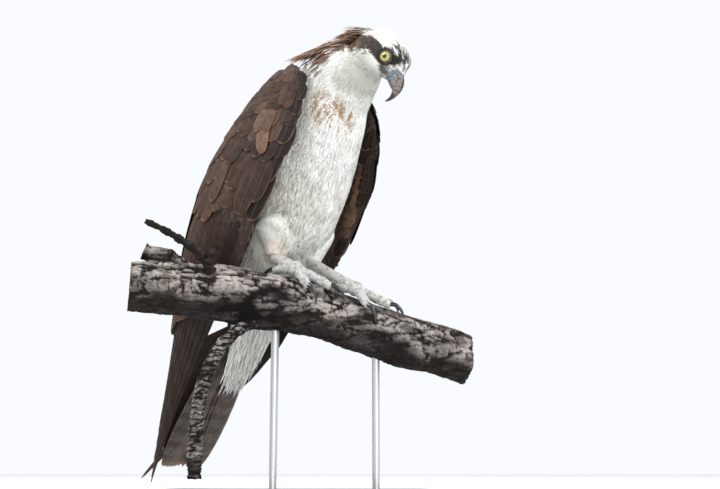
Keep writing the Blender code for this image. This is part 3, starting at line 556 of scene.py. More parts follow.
class Finish:
    """A material with one Principled shader; its constants go straight on the shader's sockets."""

    def __init__(self, name, **constants):
        self.material = bpy.data.materials.new(name)
        self.material.use_nodes = True
        self.shader = self.material.node_tree.nodes["Principled BSDF"]
        self.feed(self.shader, {key.replace("_", " "): value for key, value in constants.items()})

    def feed(self, node, values):
        for key, value in values.items():
            socket = node.inputs[key]
            if isinstance(value, Value):
                self.material.node_tree.links.new(value.socket, socket)
            elif socket.type == "RGBA":
                socket.default_value = (*value[:3], 1)
            else:
                socket.default_value = value

    def node(self, kind, settings=None, values=None, out=0):
        made = self.material.node_tree.nodes.new(kind)
        for key, value in (settings or {}).items():
            if key == "stops":
                ramp = made.color_ramp.elements
                while len(ramp) < len(value):
                    ramp.new(0.5)
                for stop, (place, colour) in zip(ramp, value):
                    stop.position = place
                    stop.color = (*colour, 1)
            else:
                setattr(made, key, value)
        self.feed(made, values or {})
        return Value(self, made.outputs[out])

    def place(self, stretch=(1, 1, 1)):
        """Where the surface is, in metres, with each axis stretched."""
        at = self.node("ShaderNodeTexCoord", out=3)
        return self.node("ShaderNodeMapping", {"vector_type": "POINT"}, {"Vector": at, "Scale": stretch})

    def noise(self, scale, detail=3, where=None, rough=0.55):
        values = {"Vector": where or self.place(), "Scale": scale, "Detail": detail, "Roughness": rough}
        return self.node("ShaderNodeTexNoise", None, values)

    def cells(self, scale, where=None, feature="F1", out=0):
        values = {"Vector": where or self.place(), "Scale": scale}
        return self.node("ShaderNodeTexVoronoi", {"feature": feature}, values, out)

    def painted(self, name, out=0):
        return self.node("ShaderNodeAttribute", {"attribute_name": name}, out=out)

    def across_and_along(self):
        """Across and along one feather, both from 0 to 1, from its own map."""
        both = self.node("ShaderNodeUVMap", {"uv_map": "vane"})
        apart = self.node("ShaderNodeSeparateXYZ", None, {0: both})
        return apart, Value(self, apart.socket.node.outputs[1])

    def tint(self, a, b, share, how="MIX"):
        """Mixes two colours."""
        settings = {"data_type": "RGBA", "blend_type": how}
        return self.node("ShaderNodeMix", settings, {0: share, 6: a, 7: b}, 2)

    def colour(self, value):
        self.feed(self.shader, {"Base Color": value})

    def roughness(self, value):
        self.feed(self.shader, {"Roughness": value})

    def bump(self, height, depth, strength=1.0):
        """Raises the surface by height times depth, in metres."""
        values = {"Height": height, "Distance": depth, "Strength": strength}
        self.feed(self.shader, {"Normal": self.node("ShaderNodeBump", None, values)})


# %% [markdown]
# ## The camera, the light and the floor
# The photograph looks up at the bird from below, at about twelve degrees, from little over a metre
# away at this scale. A longer lens from further off would flatten the hook of the bill and the feet.
# The light is an even bright sky, so large soft lamps stand high on both sides, and one low lamp
# fills the breast as the bright ground did.

# %% Camera
CAMERA_PLACE = Vector((0.0776, -1.2203, 0.0457))
CAMERA_TILT = math.radians(12)
CAMERA_FOCAL = 51.33
camera = bpy.data.objects.new("camera", bpy.data.cameras.new("camera"))
camera.data.lens = CAMERA_FOCAL
camera.data.sensor_width = 36
camera.location = CAMERA_PLACE
camera.rotation_euler = (math.radians(90) + CAMERA_TILT, 0, 0)
bpy.context.scene.collection.objects.link(camera)
bpy.context.scene.camera = camera
print("camera at", tuple(CAMERA_PLACE))

# %% Light
def lamp(name, place, target, size, power, colour=(1, 1, 1)):
    light = bpy.data.lights.new(name, "AREA")
    light.shape = "DISK"
    light.size = size
    light.energy = power
    light.color = colour
    obj = bpy.data.objects.new(name, light)
    obj.location = place
    obj.rotation_euler = (Vector(target) - Vector(place)).to_track_quat("-Z", "Y").to_euler()
    bpy.context.scene.collection.objects.link(obj)
    return obj


BIRD_MIDDLE = (0.03, -0.03, 0.36)
lamp("sky_left", (-1.0, -1.0, 1.6), BIRD_MIDDLE, 1.0, 26)
lamp("sky_right", (1.3, -0.5, 1.3), BIRD_MIDDLE, 1.0, 14)
lamp("sky_back", (0.1, 1.4, 1.5), BIRD_MIDDLE, 1.2, 18)
lamp("ground_fill", (0.5, -1.3, 0.05), BIRD_MIDDLE, 0.9, 5)
world = bpy.data.worlds.new("sky")
world.use_nodes = True
world.node_tree.nodes["Background"].inputs["Color"].default_value = (0.95, 0.97, 1.0, 1)
world.node_tree.nodes["Background"].inputs["Strength"].default_value = 1.0
bpy.context.scene.world = world
bpy.context.scene.view_settings.view_transform = "Standard"

# %% Floor
floor_mesh = bmesh.new()
bmesh.ops.create_grid(floor_mesh, x_segments=1, y_segments=1, size=3.0)
floor = finish_mesh("floor", floor_mesh)
floor_finish = Finish("floor_paint", Roughness=0.8)
floor_finish.colour(floor_finish.tint((0.80, 0.81, 0.82), (0.84, 0.85, 0.86), floor_finish.noise(3)))
floor.data.materials.append(floor_finish.material)

# %% [markdown]
# ## One skin for the whole bird
# Under the feathers a bird is one skin, so trunk, neck, skull, upper legs and the flesh of the wings
# are melted into one form. Boolean unions would leave creases, and sculpting could not be repeated.
# A voxel remesh melts closed forms that overlap, and smoothing rounds the joins. The skin is then
# drawn in by the depth of the coat, least on the face, so that the feathers end where the solids do.

# %% Skin
def leg_blob(side):
    return rod(leg_line(side), lambda q: THIGH_SIZES(q)[0], 40, 40)


def tail_surface(share, angle):
    s = mix(TAIL_ROOT - 0.030, TAIL_ROOT + 0.075, share)
    swell = np.sin(math.pi * share) ** 0.6
    return body(s, TAIL_LINE(s)[0] + 0.0085 * swell * np.sin(angle), 0.022 * swell * np.cos(angle))


FLESH = {
    "trunk": lambda: blob(64, 72, trunk_surface),
    "head": lambda: blob(56, 48, head_surface),
    "leg_r": lambda: leg_blob(RIGHT_SIDE),
    "leg_l": lambda: leg_blob(LEFT_SIDE),
    "wing_r": lambda: blob(48, 40, wing_surface(RIGHT_SIDE)),
    "wing_l": lambda: blob(48, 40, wing_surface(LEFT_SIDE)),
    "tail": lambda: blob(32, 24, tail_surface),
}
REGIONS = list(FLESH)
trees = {}
for region, make in FLESH.items():
    form = make()
    form.normal_update()
    trees[region] = bvhtree.BVHTree.FromBMesh(form)
    form.free()


def region_of(points):
    """The number of the form that each point lies nearest to."""
    far = np.array([[trees[name].find_nearest(p)[3] for name in REGIONS] for p in points])
    return far.argmin(1)


SKIN_VOXEL = 0.0024
COAT_DEPTH = {"trunk": 0.0035, "head": 0.0012, "leg_r": 0.0028, "leg_l": 0.0028}
WING_DEPTH = 0.0010
skin = fuse(gather("skin", [make() for make in FLESH.values()]), SKIN_VOXEL, 6)
skin_places = vertices_of(skin)
skin_regions = region_of(skin_places)
depths = np.array([COAT_DEPTH.get(name, WING_DEPTH) for name in REGIONS])[skin_regions]
folds = rough(skin_places * (1.0, 1.0, 0.55), 42, 12, 2) * 0.0016 * (skin_regions == REGIONS.index("trunk"))
move_vertices(skin, skin_places + vertex_normals(skin) * (folds - depths)[:, None])
even = skin.modifiers.new("even", "SMOOTH")
even.factor = 0.5
even.iterations = 3
as_made(skin)
thin_out = skin.modifiers.new("triangles", "TRIANGULATE")
as_made(skin)
print("skin", len(skin.data.polygons), "triangles")

# %% [markdown]
# ## Unwrapping the skin
# When the model is exported, each finish is drawn into an image. Every feather needs its place in
# that image, and the best place is where its root sits on the unwrapped skin: neighbours on the bird
# stay neighbours in the image, so their markings do not get muddled.

# %% Unwrap
BAKE_MAP = "OFBake"
skin.data.uv_layers.new(name=BAKE_MAP)
bpy.ops.object.select_all(action="DESELECT")
skin.select_set(True)
bpy.context.view_layer.objects.active = skin
bpy.ops.object.mode_set(mode="EDIT")
bpy.ops.mesh.select_all(action="SELECT")
bpy.ops.uv.smart_project(angle_limit=math.radians(66), island_margin=0.004)
bpy.ops.object.mode_set(mode="OBJECT")
skin_map = np.empty(len(skin.data.loops) * 2)
skin.data.uv_layers[BAKE_MAP].data.foreach_get("uv", skin_map)
skin_map = skin_map.reshape(-1, 3, 2)
skin_faces = np.empty(len(skin.data.polygons) * 3, int)
skin.data.polygons.foreach_get("vertices", skin_faces)
skin_faces = skin_faces.reshape(-1, 3)
skin_places = vertices_of(skin)
skin_tree = bvhtree.BVHTree.FromPolygons([Vector(p) for p in skin_places], skin_faces.tolist())
print("skin map", skin_map.min(), skin_map.max())

# %% [markdown]
# ## Markings
# The bird is white below and dark brown above, with a dark stripe from the bill through the eye to
# the nape, and a necklace of rusty flecks. Grey-green painted shade lies on the white under the chin,
# on the throat and low on the belly. Skin and feathers have to agree on all of this, so one function
# gives the colour of any point, from its place on the bird and from noise.

# %% Markings
WHITE = np.array((0.80, 0.79, 0.75))
# Grey-green for painted shade on the white feathers, and for their random grey mottle
SHADE = np.array((0.56, 0.57, 0.51))
# Darker grey-green painted shade for the throat, under the chin
THROAT_SHADE = np.array((0.36, 0.37, 0.31))
DARK = np.array((0.026, 0.015, 0.011))
BROWN = np.array((0.085, 0.047, 0.034))
RUST = np.array((0.20, 0.095, 0.048))
OCHRE = np.array((0.45, 0.26, 0.11))
GREY = np.array((0.22, 0.22, 0.21))
BLACK = np.array((0.010, 0.009, 0.009))
CERE = np.array((0.20, 0.225, 0.245))
# Eye stripe: distance towards the bill from between the eyes, then its lower and upper edge
STRIPE = smooth_rows(
    [
        (-0.070, -0.074, -0.0170),
        (-0.057, -0.061, -0.0130),
        (-0.046, -0.046, -0.0085),
        (-0.038, -0.038, -0.0045),
        (-0.029, -0.028, 0.0000),
        (-0.023, -0.020, 0.0022),
        (-0.015, -0.0165, 0.0050),
        (-0.005, -0.0135, 0.0062),
        (0.005, -0.0120, 0.0070),
        (0.013, -0.0040, 0.0085),
    ]
)
# Where the feathers of the face end: height, then distance towards the bill
FACE_EDGE = smooth_rows(
    [(-0.030, 0.012), (-0.0110, 0.0172), (-0.0040, 0.0185), (0.0000, 0.0228), (0.0016, 0.0290), (0.0060, 0.0330)]
)


def over(colours, colour, share):
    """Lays a colour over others by a share for each."""
    return mix(colours, np.asarray(colour), np.asarray(share)[:, None])


def head_marking(points):
    x, y, z = read_in(points, HEAD_MIDDLE, HEAD_AXES).T
    fine = rough(points, 420, 3)
    streak = rough(np.stack([x * 70, y * 420, z * 420], -1), 1, 5)
    low, high = STRIPE(x)
    # Painted shade: the white greys towards the bottom of the head, under the chin
    colours = over(np.tile(WHITE, (len(points), 1)), SHADE, ease(-z, 0.006, 0.026) * 0.6)
    # Painted shade on the throat, under the bill
    colours = over(colours, THROAT_SHADE, ease(-z, 0.018, 0.034) * ease(x, -0.034, -0.008) * 0.85)
    forehead = ease(0.72 * x + 0.69 * z, 0.003, 0.011) * ease(z, 0.003, 0.009)
    colours = over(colours, GREY, forehead * ease(streak, -0.40, 0.0) * ease(x, 0.0, 0.02) * 0.7)
    colours = over(colours, BROWN * 0.45, forehead * ease(streak, -0.20, 0.0))
    lore = ease(x, 0.007, 0.012) * ease(0.010 - z, 0.0, 0.004)
    colours = over(colours, GREY * 0.9, lore * ease(streak, -0.30, 0.02) * 0.9)
    gape = np.hypot((x - 0.0118) / 0.0066, (z + 0.0130) / 0.0048)
    colours = over(colours, GREY * 0.16, ease(1.15 - gape + fine * 0.5, 0.0, 0.5) * 0.9)
    ragged = streak * 0.0045 + fine * 0.0015
    behind = ease(-x, 0.006, 0.014)
    stripe = ease(z - low + ragged * mix(0.8, 2.6, behind), 0.0, 0.0024) * ease(high - z + ragged, 0.0, 0.0022)
    stripe *= ease(0.0165 - x + fine * 0.001, 0.0, 0.003)
    rusty = ease(-x, 0.016, 0.040)
    dark = over(np.tile(DARK, (len(points), 1)), RUST, rusty * ease(streak + fine * 0.5, -0.5, 0.3) * 0.6)
    dark = over(dark, OCHRE * 1.1, rusty * ease(fine + streak, 0.40, 0.65) * 0.5)
    colours = mix(colours, dark, stripe[:, None])
    patch = np.hypot((x - 0.0145) / 0.0045, (z - 0.0045) / 0.0075) + fine * 0.25
    colours = over(colours, BLACK, ease(1.15 - patch, 0.0, 0.3))
    near_eye = np.hypot(x - EYE_PLACE[0], z - EYE_PLACE[2])
    colours = over(colours, BLACK, ease(0.0108 + fine * 0.0012 - near_eye, 0.0, 0.0015))
    (edge,) = FACE_EDGE(z)
    bare_skin = over(np.tile(CERE, (len(points), 1)), CERE * 0.35, ease(rough(points, 700, 9), -0.1, 0.3) * 0.8)
    return mix(colours, bare_skin, ease(x - edge, 0.0003, 0.0010)[:, None])


def hind_neck(points):
    """How far each point belongs to the shaggy brown feathers of the nape and the hind neck."""
    x, y, z = read_in(points, HEAD_MIDDLE, HEAD_AXES).T
    s, w, l = read_in(points, NECK_BASE, (DOWN_BODY, BELLYWARD, LEFT)).T
    behind = ease(-x - 0.30 * z - np.abs(y) * 0.3, 0.041, 0.054) * ease(0.10 - z, 0, 0.01)
    high = ease(z, -0.085, -0.060)
    back = ease(-w + 0.15 * s, -0.010, 0.006) * ease(s, -0.03, 0.0) * ease(0.080 - s, 0.0, 0.03)
    return np.maximum(behind * high, back)


def body_marking(points):
    s, w, l = read_in(points, NECK_BASE, (DOWN_BODY, BELLYWARD, LEFT)).T
    middle, depth, width = TRUNK(s)
    ahead = (w - middle) / np.maximum(depth, 0.01)
    grain = rough(points, 45, 1)
    fine = rough(points, 260, 2)
    flecks = rough(np.stack([s * 120, w * 310, l * 310], -1), 1, 6)
    colours = over(np.tile(WHITE, (len(points), 1)), SHADE, ease(grain, -0.2, 0.5) * 0.30)
    # Painted shade on the front of the neck, under the chin
    colours = over(colours, THROAT_SHADE, ease(-s, 0.004, 0.030) * ease(w, 0.012, 0.034) * 0.75)
    # Painted shade, warmed towards cream, low on the belly and towards its right side
    belly = ease(s, 0.05, 0.13) * ease(-l, -0.02, 0.04)
    colours = over(colours, SHADE * np.array((1.02, 1.0, 0.88)), belly * 0.45)
    band = ease(0.023 - np.abs(s - 0.004 - 0.12 * (0.045 - np.abs(l))), 0.0, 0.014) * ease(w, 0.008, 0.026)
    band *= ease(0.012 - l, 0.0, 0.020) * 0.85
    colours = over(colours, OCHRE * np.array((0.95, 0.88, 0.70)), band * ease(flecks + grain * 0.5, 0.06, 0.17))
    colours = over(colours, (0.27, 0.135, 0.048), band * ease(flecks + grain * 0.5, 0.18, 0.30) * 0.9)
    low_band = ease(0.020 - np.abs(s - 0.112), 0.0, 0.012) * ease(ahead, 0.3, 0.5)
    colours = over(colours, OCHRE, low_band * ease(flecks, 0.22, 0.45) * 0.40)
    back = ease(-ahead + fine * 0.18, 0.10, 0.30)
    brown = over(np.tile(BROWN, (len(points), 1)), RUST, ease(fine, 0.0, 0.6) * 0.5)
    under_tail = ease(s, 0.24, 0.28) * ease(ahead, -0.8, -0.4)
    return mix(colours, brown, (back * ease(s, -0.01, 0.01) * (1 - under_tail))[:, None])


def wing_marking(points):
    fine = rough(points, 200, 4)
    return over(np.tile(BROWN * 0.7, (len(points), 1)), DARK, ease(fine, -0.3, 0.4) * 0.7)


def marking(points, regions):
    """The colour of the bird at each point; regions are numbers in REGIONS."""
    names = np.array(REGIONS)[regions]
    colours = np.tile(WHITE, (len(points), 1))
    for test, make in (("head", head_marking), ("trunk", body_marking), ("tail", body_marking)):
        chosen = names == test
        colours[chosen] = make(points[chosen])
    winged = np.char.startswith(names, "wing")
    colours[winged] = wing_marking(points[winged])
    legs = np.char.startswith(names, "leg")
    speck = ease(rough(points[legs], 300, 9), 0.40, 0.55)
    colours[legs] = over(colours[legs], OCHRE, speck * 0.4)
    from_heel = np.linalg.norm(points[legs] - bird(*LEGS[RIGHT_SIDE][1]), axis=1)
    stain = ease(0.034 - from_heel, 0.0, 0.022) * ease(rough(points[legs], 130, 10), -0.25, 0.25)
    colours[legs] = over(colours[legs], OCHRE * np.array((1.25, 1.15, 0.8)), stain * 0.55)
    nape = np.isin(names, ("trunk", "head"))
    x, y, z = read_in(points[nape], HEAD_MIDDLE, HEAD_AXES).T
    grain = rough(np.stack([x * 60, y * 260, z * 60], -1), 1, 8)
    shag = over(np.tile(RUST, (len(x), 1)), DARK, ease(grain, -0.15, 0.25) * 0.75)
    shag = over(shag, WHITE * 0.8, ease(-grain, 0.28, 0.42) * 0.5)
    hind = hind_neck(points[nape]) * np.where(names[nape] == "trunk", 1, 0.0)
    colours[nape] = mix(colours[nape], shag, ease(hind + grain * 0.5, 0.25, 0.75)[:, None])
    return colours


skin_regions = region_of(skin_places)
paint(skin, "tint", marking(skin_places, skin_regions))
print("markings painted on", len(skin_places), "points")


# %% [markdown]
# ## One feather
# A feather is a thin vane on a shaft: narrow at the root, broad in the middle, round or pointed at
# the tip, and a little domed. A flat card would vanish when seen from its edge and throw no real
# shadow, so each feather is a closed lens. It starts as a sphere whose rings become the rows of the
# vane. A shape is made once, and arrays lay thousands of copies.

# %% Feather shapes
class Shape:
    """A feather's points as shares: along it, across it and up, with its triangles."""

    def __init__(self, columns, rows):
        bm = bmesh.new()
        turn = Matrix.Rotation(math.pi / columns, 4, "Z")
        steps = len(rows) - 1
        bmesh.ops.create_uvsphere(bm, u_segments=columns, v_segments=steps, radius=1, matrix=turn)
        bmesh.ops.triangulate(bm, faces=bm.faces)
        ball = np.array([vert.co for vert in bm.verts])
        self.triangles = np.array([[vert.index for vert in face.verts] for face in bm.faces])
        bm.free()
        row = np.round(np.arccos(np.clip(ball[:, 2], -1, 1)) / math.pi * steps).astype(int)
        angle = np.arctan2(ball[:, 1], ball[:, 0])
        self.along, self.wide = np.array(rows)[row].T
        inside = self.wide > 0
        self.side = np.where(inside, np.cos(angle), 0)
        self.up = np.where(inside, np.sin(angle), 0)


SMALL = Shape(4, ((0, 0), (0.16, 0.55), (0.48, 0.95), (0.78, 0.88), (0.94, 0.45), (1, 0)))
BARB = Shape(3, ((0, 0), (0.25, 0.9), (0.65, 1.0), (1, 0)))
LONG_ROWS = ((0, 0), (0.02, 0.25), (0.08, 0.50), (0.18, 0.72), (0.30, 0.88), (0.44, 0.97), (0.58, 1.0))
ROUND_TIP = ((0.70, 0.99), (0.80, 0.93), (0.88, 0.80), (0.94, 0.60), (0.98, 0.34), (1, 0))
NARROW_TIP = ((0.70, 0.94), (0.80, 0.82), (0.88, 0.65), (0.94, 0.45), (0.98, 0.24), (1, 0))
ROUND = Shape(12, LONG_ROWS + ROUND_TIP)
NARROW = Shape(12, LONG_ROWS + NARROW_TIP)
print("triangles in a small feather", len(SMALL.triangles), "and in a flight feather", len(ROUND.triangles))


# %% Many feathers as one mesh
PATCH = 0.003


def feather_mesh(name, shape, places, colours, roots=None, cells=None, facts=None):
    """Joins feathers, each a row of places; roots or cells give their part of the exported image."""
    count, size = places.shape[:2]
    triangles = (shape.triangles[None] + np.arange(count)[:, None, None] * size).reshape(-1, 3)
    mesh = bpy.data.meshes.new(name)
    mesh.vertices.add(count * size)
    mesh.vertices.foreach_set("co", places.ravel())
    mesh.loops.add(triangles.size)
    mesh.loops.foreach_set("vertex_index", triangles.ravel())
    mesh.polygons.add(len(triangles))
    mesh.polygons.foreach_set("loop_start", np.arange(0, triangles.size, 3))
    mesh.update(calc_edges=True)
    mesh.shade_smooth()
    own = np.stack([shape.side * 0.5 + 0.5, shape.along], -1)
    if cells is None:
        image = roots[:, None] + (own - 0.5) * PATCH
    else:
        image = cells[:, None, :2] + own * cells[:, None, 2:]
    vane_map = np.tile(own, (count, 1))
    for map_name, values in ((BAKE_MAP, image.reshape(-1, 2)), ("vane", vane_map)):
        layer = mesh.uv_layers.new(name=map_name)
        layer.data.foreach_set("uv", values[triangles.ravel()].ravel())
    obj = bpy.data.objects.new(name, mesh)
    bpy.context.scene.collection.objects.link(obj)
    if colours.ndim == 2:
        colours = np.repeat(colours[:, None], size, 1)
    paint(obj, "tint", colours.reshape(-1, 3))
    for fact, values in (facts or {}).items():
        layer = mesh.attributes.new(fact, "FLOAT", "POINT")
        layer.data.foreach_set("value", np.repeat(values, size))
    return obj


# %% [markdown]
# ## The lie of the coat
# Feathers point from the bill back over the head, down the neck and body to the tail, and down the
# legs. A line is run through each of these, and a point on the skin takes its direction from the
# stretches nearest to it, flattened onto the skin. Roots are drawn at random but never closer than a
# set distance, which covers the skin evenly with no rows.

# %% Lie
def with_runs(points, radii):
    return points, unit(np.gradient(points, axis=0)), radii


BODY_STEPS = np.linspace(0.03, 0.38, 15)
neck_line = [bird(*NECK(q)[:3]) for q in (1.0, 0.8, 0.4, 0.0)]
head_line = in_head(np.array((0.045, 0.025, 0.005, -0.015, -0.032)), 0, np.array((-0.014, -0.010, -0.006, -0.008, -0.016)))
spine = np.concatenate([head_line, neck_line[1:], body(BODY_STEPS, TRUNK(BODY_STEPS)[0], 0)])
spine_radii = np.concatenate([(0.010, 0.014, 0.022, 0.026, 0.028, 0.036, 0.048, 0.052), TRUNK(BODY_STEPS)[2] + 0.01])
LINES = [with_runs(spine, spine_radii)]
for side in SIDES:
    steps = np.linspace(0.25, 1, 8)
    LINES.append(with_runs(leg_line(side)(steps), THIGH_SIZES(steps)[0]))
line_points, line_runs, line_radii = (np.concatenate(parts) for parts in zip(*LINES))


def lie(points, normals):
    """The direction in which a feather rooted at each point grows."""
    far = np.linalg.norm(points[:, None] - line_points[None], axis=-1) / line_radii
    pull = np.exp(-2 * far * far) + 1e-9
    run = unit((pull[..., None] * line_runs[None]).sum(1))
    return unit(run - normals * (run * normals).sum(-1, keepdims=True))


def nearest_on_skin(points):
    found = [skin_tree.find_nearest(p) for p in points]
    return np.array([f[0] for f in found]), np.array([f[1] for f in found])


corners = skin_places[skin_faces]
spans = np.cross(corners[:, 1] - corners[:, 0], corners[:, 2] - corners[:, 0])
areas = np.linalg.norm(spans, axis=1) / 2
middles = corners.mean(1)
face_regions = skin_regions[skin_faces[:, 0]]


# %% Sizes of the coat
def coat_sizes(points, regions):
    """Length, half width and lift of the feathers that grow at each point."""
    names = np.array(REGIONS)[regions]
    s, w, _ = read_in(points, NECK_BASE, (DOWN_BODY, BELLYWARD, LEFT)).T
    x, _, z = read_in(points, HEAD_MIDDLE, HEAD_AXES).T
    length = mix(0.0110, 0.0170, ease(s, -0.03, 0.10))
    length = mix(length, 0.030, ease(s, 0.24, 0.30))
    half = length * 0.19
    lift = length * 0.018
    shaggy = hind_neck(points)
    length, half = mix(length, 0.0200, shaggy), mix(half, 0.0021, shaggy)
    lift = mix(lift, 0.0032, shaggy)
    head = names == "head"
    length = np.where(head, mix(0.0030, 0.0090, ease(-x, -0.014, 0.045)), length)
    half = np.where(head, length * 0.17, half)
    ruffled = ease(0.72 * x + 0.69 * z, 0.009, 0.018) * ease(z, 0.003, 0.009)
    length = np.where(head, mix(length, 0.0078, ruffled), length)
    lift = np.where(head, mix(length * 0.06, 0.0030, ruffled), lift)
    legs = np.char.startswith(names, "leg")
    low = np.linalg.norm(points - bird(*LEGS[RIGHT_SIDE][1]), axis=1)
    low = np.minimum(low, np.linalg.norm(points - bird(*LEGS[LEFT_SIDE][1]), axis=1))
    length = np.where(legs, mix(0.0050, 0.0120, ease(low, 0.02, 0.09)), length)
    half = np.where(legs, length * 0.17, half)
    lift = np.where(legs, length * 0.04, lift)
    winged = np.char.startswith(names, "wing")
    return np.where(winged, 0.018, length), np.where(winged, 0.0045, half), np.where(winged, 0.0012, lift)


def roots_on(chosen, gap_share):
    """Draws roots on the chosen faces, thinned so that none is closer than its own gap."""
    faces = np.flatnonzero(chosen)
    length = coat_sizes(middles[faces], face_regions[faces])[0]
    gap = length * gap_share
    weights = areas[faces] / gap**2
    drawn = rng.choice(faces, int(weights.sum() * 3), p=weights / weights.sum())
    a, b = rng.random((2, len(drawn)))
    a, b = np.where(a + b > 1, 1 - a, a), np.where(a + b > 1, 1 - b, b)
    shares = np.stack([1 - a - b, a, b], 1)[..., None]
    points = (corners[drawn] * shares).sum(1)
    gaps = coat_sizes(points, face_regions[drawn])[0] * gap_share
    tree = mathutils_tree(points)
    kept, gone = [], np.zeros(len(points), bool)
    for k, point in enumerate(points):
        if gone[k]:
            continue
        kept.append(k)
        for _, other, _ in tree.find_range(point, gaps[k]):
            gone[other] = True
    image = (skin_map[drawn] * shares).sum(1)
    return points[kept], unit(spans[drawn])[kept], face_regions[drawn][kept], image[kept]


def mathutils_tree(points):
    tree = KDTree(len(points))
    for k, point in enumerate(points):
        tree.insert(point, k)
    tree.balance()
    return tree


# %% [markdown]
# ## Growing the coat
# Each small feather follows the skin: its middle and its tip are set down on the nearest skin ahead
# of it, and then raised a little, so that it lies on the feathers behind. White feathers of the
# breast are loose, and between the vanes stand bundles of fine barbs that break every edge.

# %% Coat
def laid(shape, roots, normals, runs, length, half, thick, lift, turn=0.0):
    """The places of feathers that follow the skin from their roots."""
    middle, middle_up = nearest_on_skin(roots + runs * length[:, None] * 0.5)
    ahead = unit(middle - roots)
    tip, tip_up = nearest_on_skin(middle + ahead * length[:, None] * 0.5)
    a = shape.along[None, :, None]
    first, second, third = (1 - a) * (1 - 2 * a), 4 * a * (1 - a), a * (2 * a - 1)
    line = first * roots[:, None] + second * middle[:, None] + third * tip[:, None]
    up = unit((1 - a) ** 2 * normals[:, None] + 2 * a * (1 - a) * middle_up[:, None] + a * a * tip_up[:, None])
    rise = -0.0006 * (1 - a) ** 2 + lift[:, None, None] * a
    across = unit(np.cross(up, (tip - roots)[:, None]))
    side = (shape.side * shape.wide)[None, :, None] * half[:, None, None]
    sway = turn * length[:, None, None] * a * a
    dome = -0.25 * side**2 / half[:, None, None]
    body_up = up * (rise + dome + (shape.up * np.minimum(shape.wide * 2, 1))[None, :, None] * thick[:, None, None])
    return line + across * (side + sway) + body_up


def eye_frame(side):
    """The eye's place and its own axes: the first looks out of the eye."""
    out = unit(np.array((0.26, side, 0.06)))
    across = unit(np.cross(out, (0, 0, 1)))
    axes = np.stack([out, across, np.cross(out, across)])
    place = in_head(EYE_PLACE[0], side * EYE_PLACE[1], EYE_PLACE[2])
    return place, axes @ np.stack(HEAD_AXES)


def bare(points):
    """Where no feather roots: round the eyes and under the bill."""
    x, y, z = read_in(points, HEAD_MIDDLE, HEAD_AXES).T
    out = (np.abs(y) < 0.03) & (np.abs(z) < 0.03) & (x > FACE_EDGE(z)[0] - 0.0006)
    for side in SIDES:
        place, axes = eye_frame(side)
        out |= np.linalg.norm(points - place, axis=1) < EYE_RADIUS + 0.0003
    return out


names_of_faces = np.array(REGIONS)[face_regions]
face_s, face_w, _ = read_in(middles, NECK_BASE, (DOWN_BODY, BELLYWARD, LEFT)).T
on_trunk = names_of_faces == "trunk"
belly_side = face_w > TRUNK(face_s)[0]
COAT = {
    "coat_head": (names_of_faces == "head", 0.21, 0.155),
    "coat_neck": (on_trunk & (face_s < 0.02), 0.20, 0.115),
    "coat_breast": (on_trunk & (face_s >= 0.02) & belly_side, 0.20, 0.092),
    "coat_back": (on_trunk & (face_s >= 0.02) & ~belly_side, 0.26, 0.20),
    "coat_rump": (names_of_faces == "tail", 0.17, 0.10),
    "coat_legs": (np.char.startswith(names_of_faces, "leg"), 0.22, 0.14),
    "coat_wings": (np.char.startswith(names_of_faces, "wing"), 0.34, None),
}
MOST_TRIANGLES = 190000
feather_finish = Finish("small_feathers", Roughness=0.85, **{"Sheen Weight": 0.15})
across, along = feather_finish.across_and_along()
barbs = ((along * 40 + (across - 0.5).size() * 30) * (math.tau / 4)).wave()
feather_finish.colour(
    feather_finish.tint(
        feather_finish.painted("tint"), (0.9, 0.88, 0.85), feather_finish.painted("light", 2), "MULTIPLY"
    )
)
feather_finish.bump(barbs, 0.00006, 0.25)


def lay_coat(name, chosen, shape, gap_share, wide, long, sway, raised):
    """Covers the chosen faces of the skin with feathers of one shape."""
    roots, normals, regions, image = roots_on(chosen, gap_share)
    keep = ~bare(roots)
    roots, normals, regions, image = roots[keep], normals[keep], regions[keep], image[keep]
    length, half, lift = coat_sizes(roots, regions)
    vary = rng.normal(1, 0.14, len(roots)) * long
    runs = lie(roots, normals)
    sideways = np.cross(normals, runs)
    runs = unit(runs + sideways * rng.normal(0, sway, len(roots))[:, None])
    lift = lift * rng.uniform(*raised, len(roots))
    thick = np.minimum(half * wide * 0.4, length * 0.010)
    places = laid(shape, roots, normals, runs, length * vary, half * wide, thick, lift)
    colours = marking(roots + runs * length[:, None] * 0.4, regions) * rng.normal(1, 0.03, (len(roots), 1))
    most = MOST_TRIANGLES // len(shape.triangles)
    for k in range(0, len(roots), most):
        part = slice(k, k + most)
        facts = {"light": rng.uniform(0, 0.25, len(roots[part]))}
        piece = feather_mesh(f"{name}_{k // most + 1}", shape, places[part], colours[part], image[part], facts=facts)
        dress(piece, feather_finish, "white_feathers")
    return len(roots) * len(shape.triangles)


coat_total = 0
for name, (chosen, vane_gap, barb_gap) in COAT.items():
    coat_total += lay_coat(name, chosen, SMALL, vane_gap, 1.0, 1.0, 0.14, (0.4, 1.1))
    if barb_gap:
        coat_total += lay_coat(name + "_barbs", chosen, BARB, barb_gap, 0.13, 1.25, 0.11, (0.35, 1.1))
print("coat", coat_total, "triangles")

# %% [markdown]
# ## The mane
# Long pointed feathers stand off the nape and end free in the air, so they can't be set down on the
# skin like the rest. Each springs from the back of the skull towards a place in the air and bows a
# little on its way. Dark at the root, they fade to rust and to pale worn tips.

# %% Nape locks
LOCK = Shape(6, ((0, 0), (0.12, 0.5), (0.32, 0.9), (0.55, 1.0), (0.75, 0.8), (0.90, 0.45), (1, 0)))
LOCKS, LOCK_HALF, LOCK_BOW = 330, 0.0017, 0.0030
# Down the nape: where the locks spring from and where the longest end, towards the bill and up
LOCK_LINE = smooth_rows(
    [
        (0.0, -0.043, 0.006, -0.080, -0.028),
        (1.0, -0.050, -0.020, -0.078, -0.057),
        (2.0, -0.062, -0.058, -0.086, -0.094),
        (2.6, -0.068, -0.078, -0.092, -0.110),
    ]
)


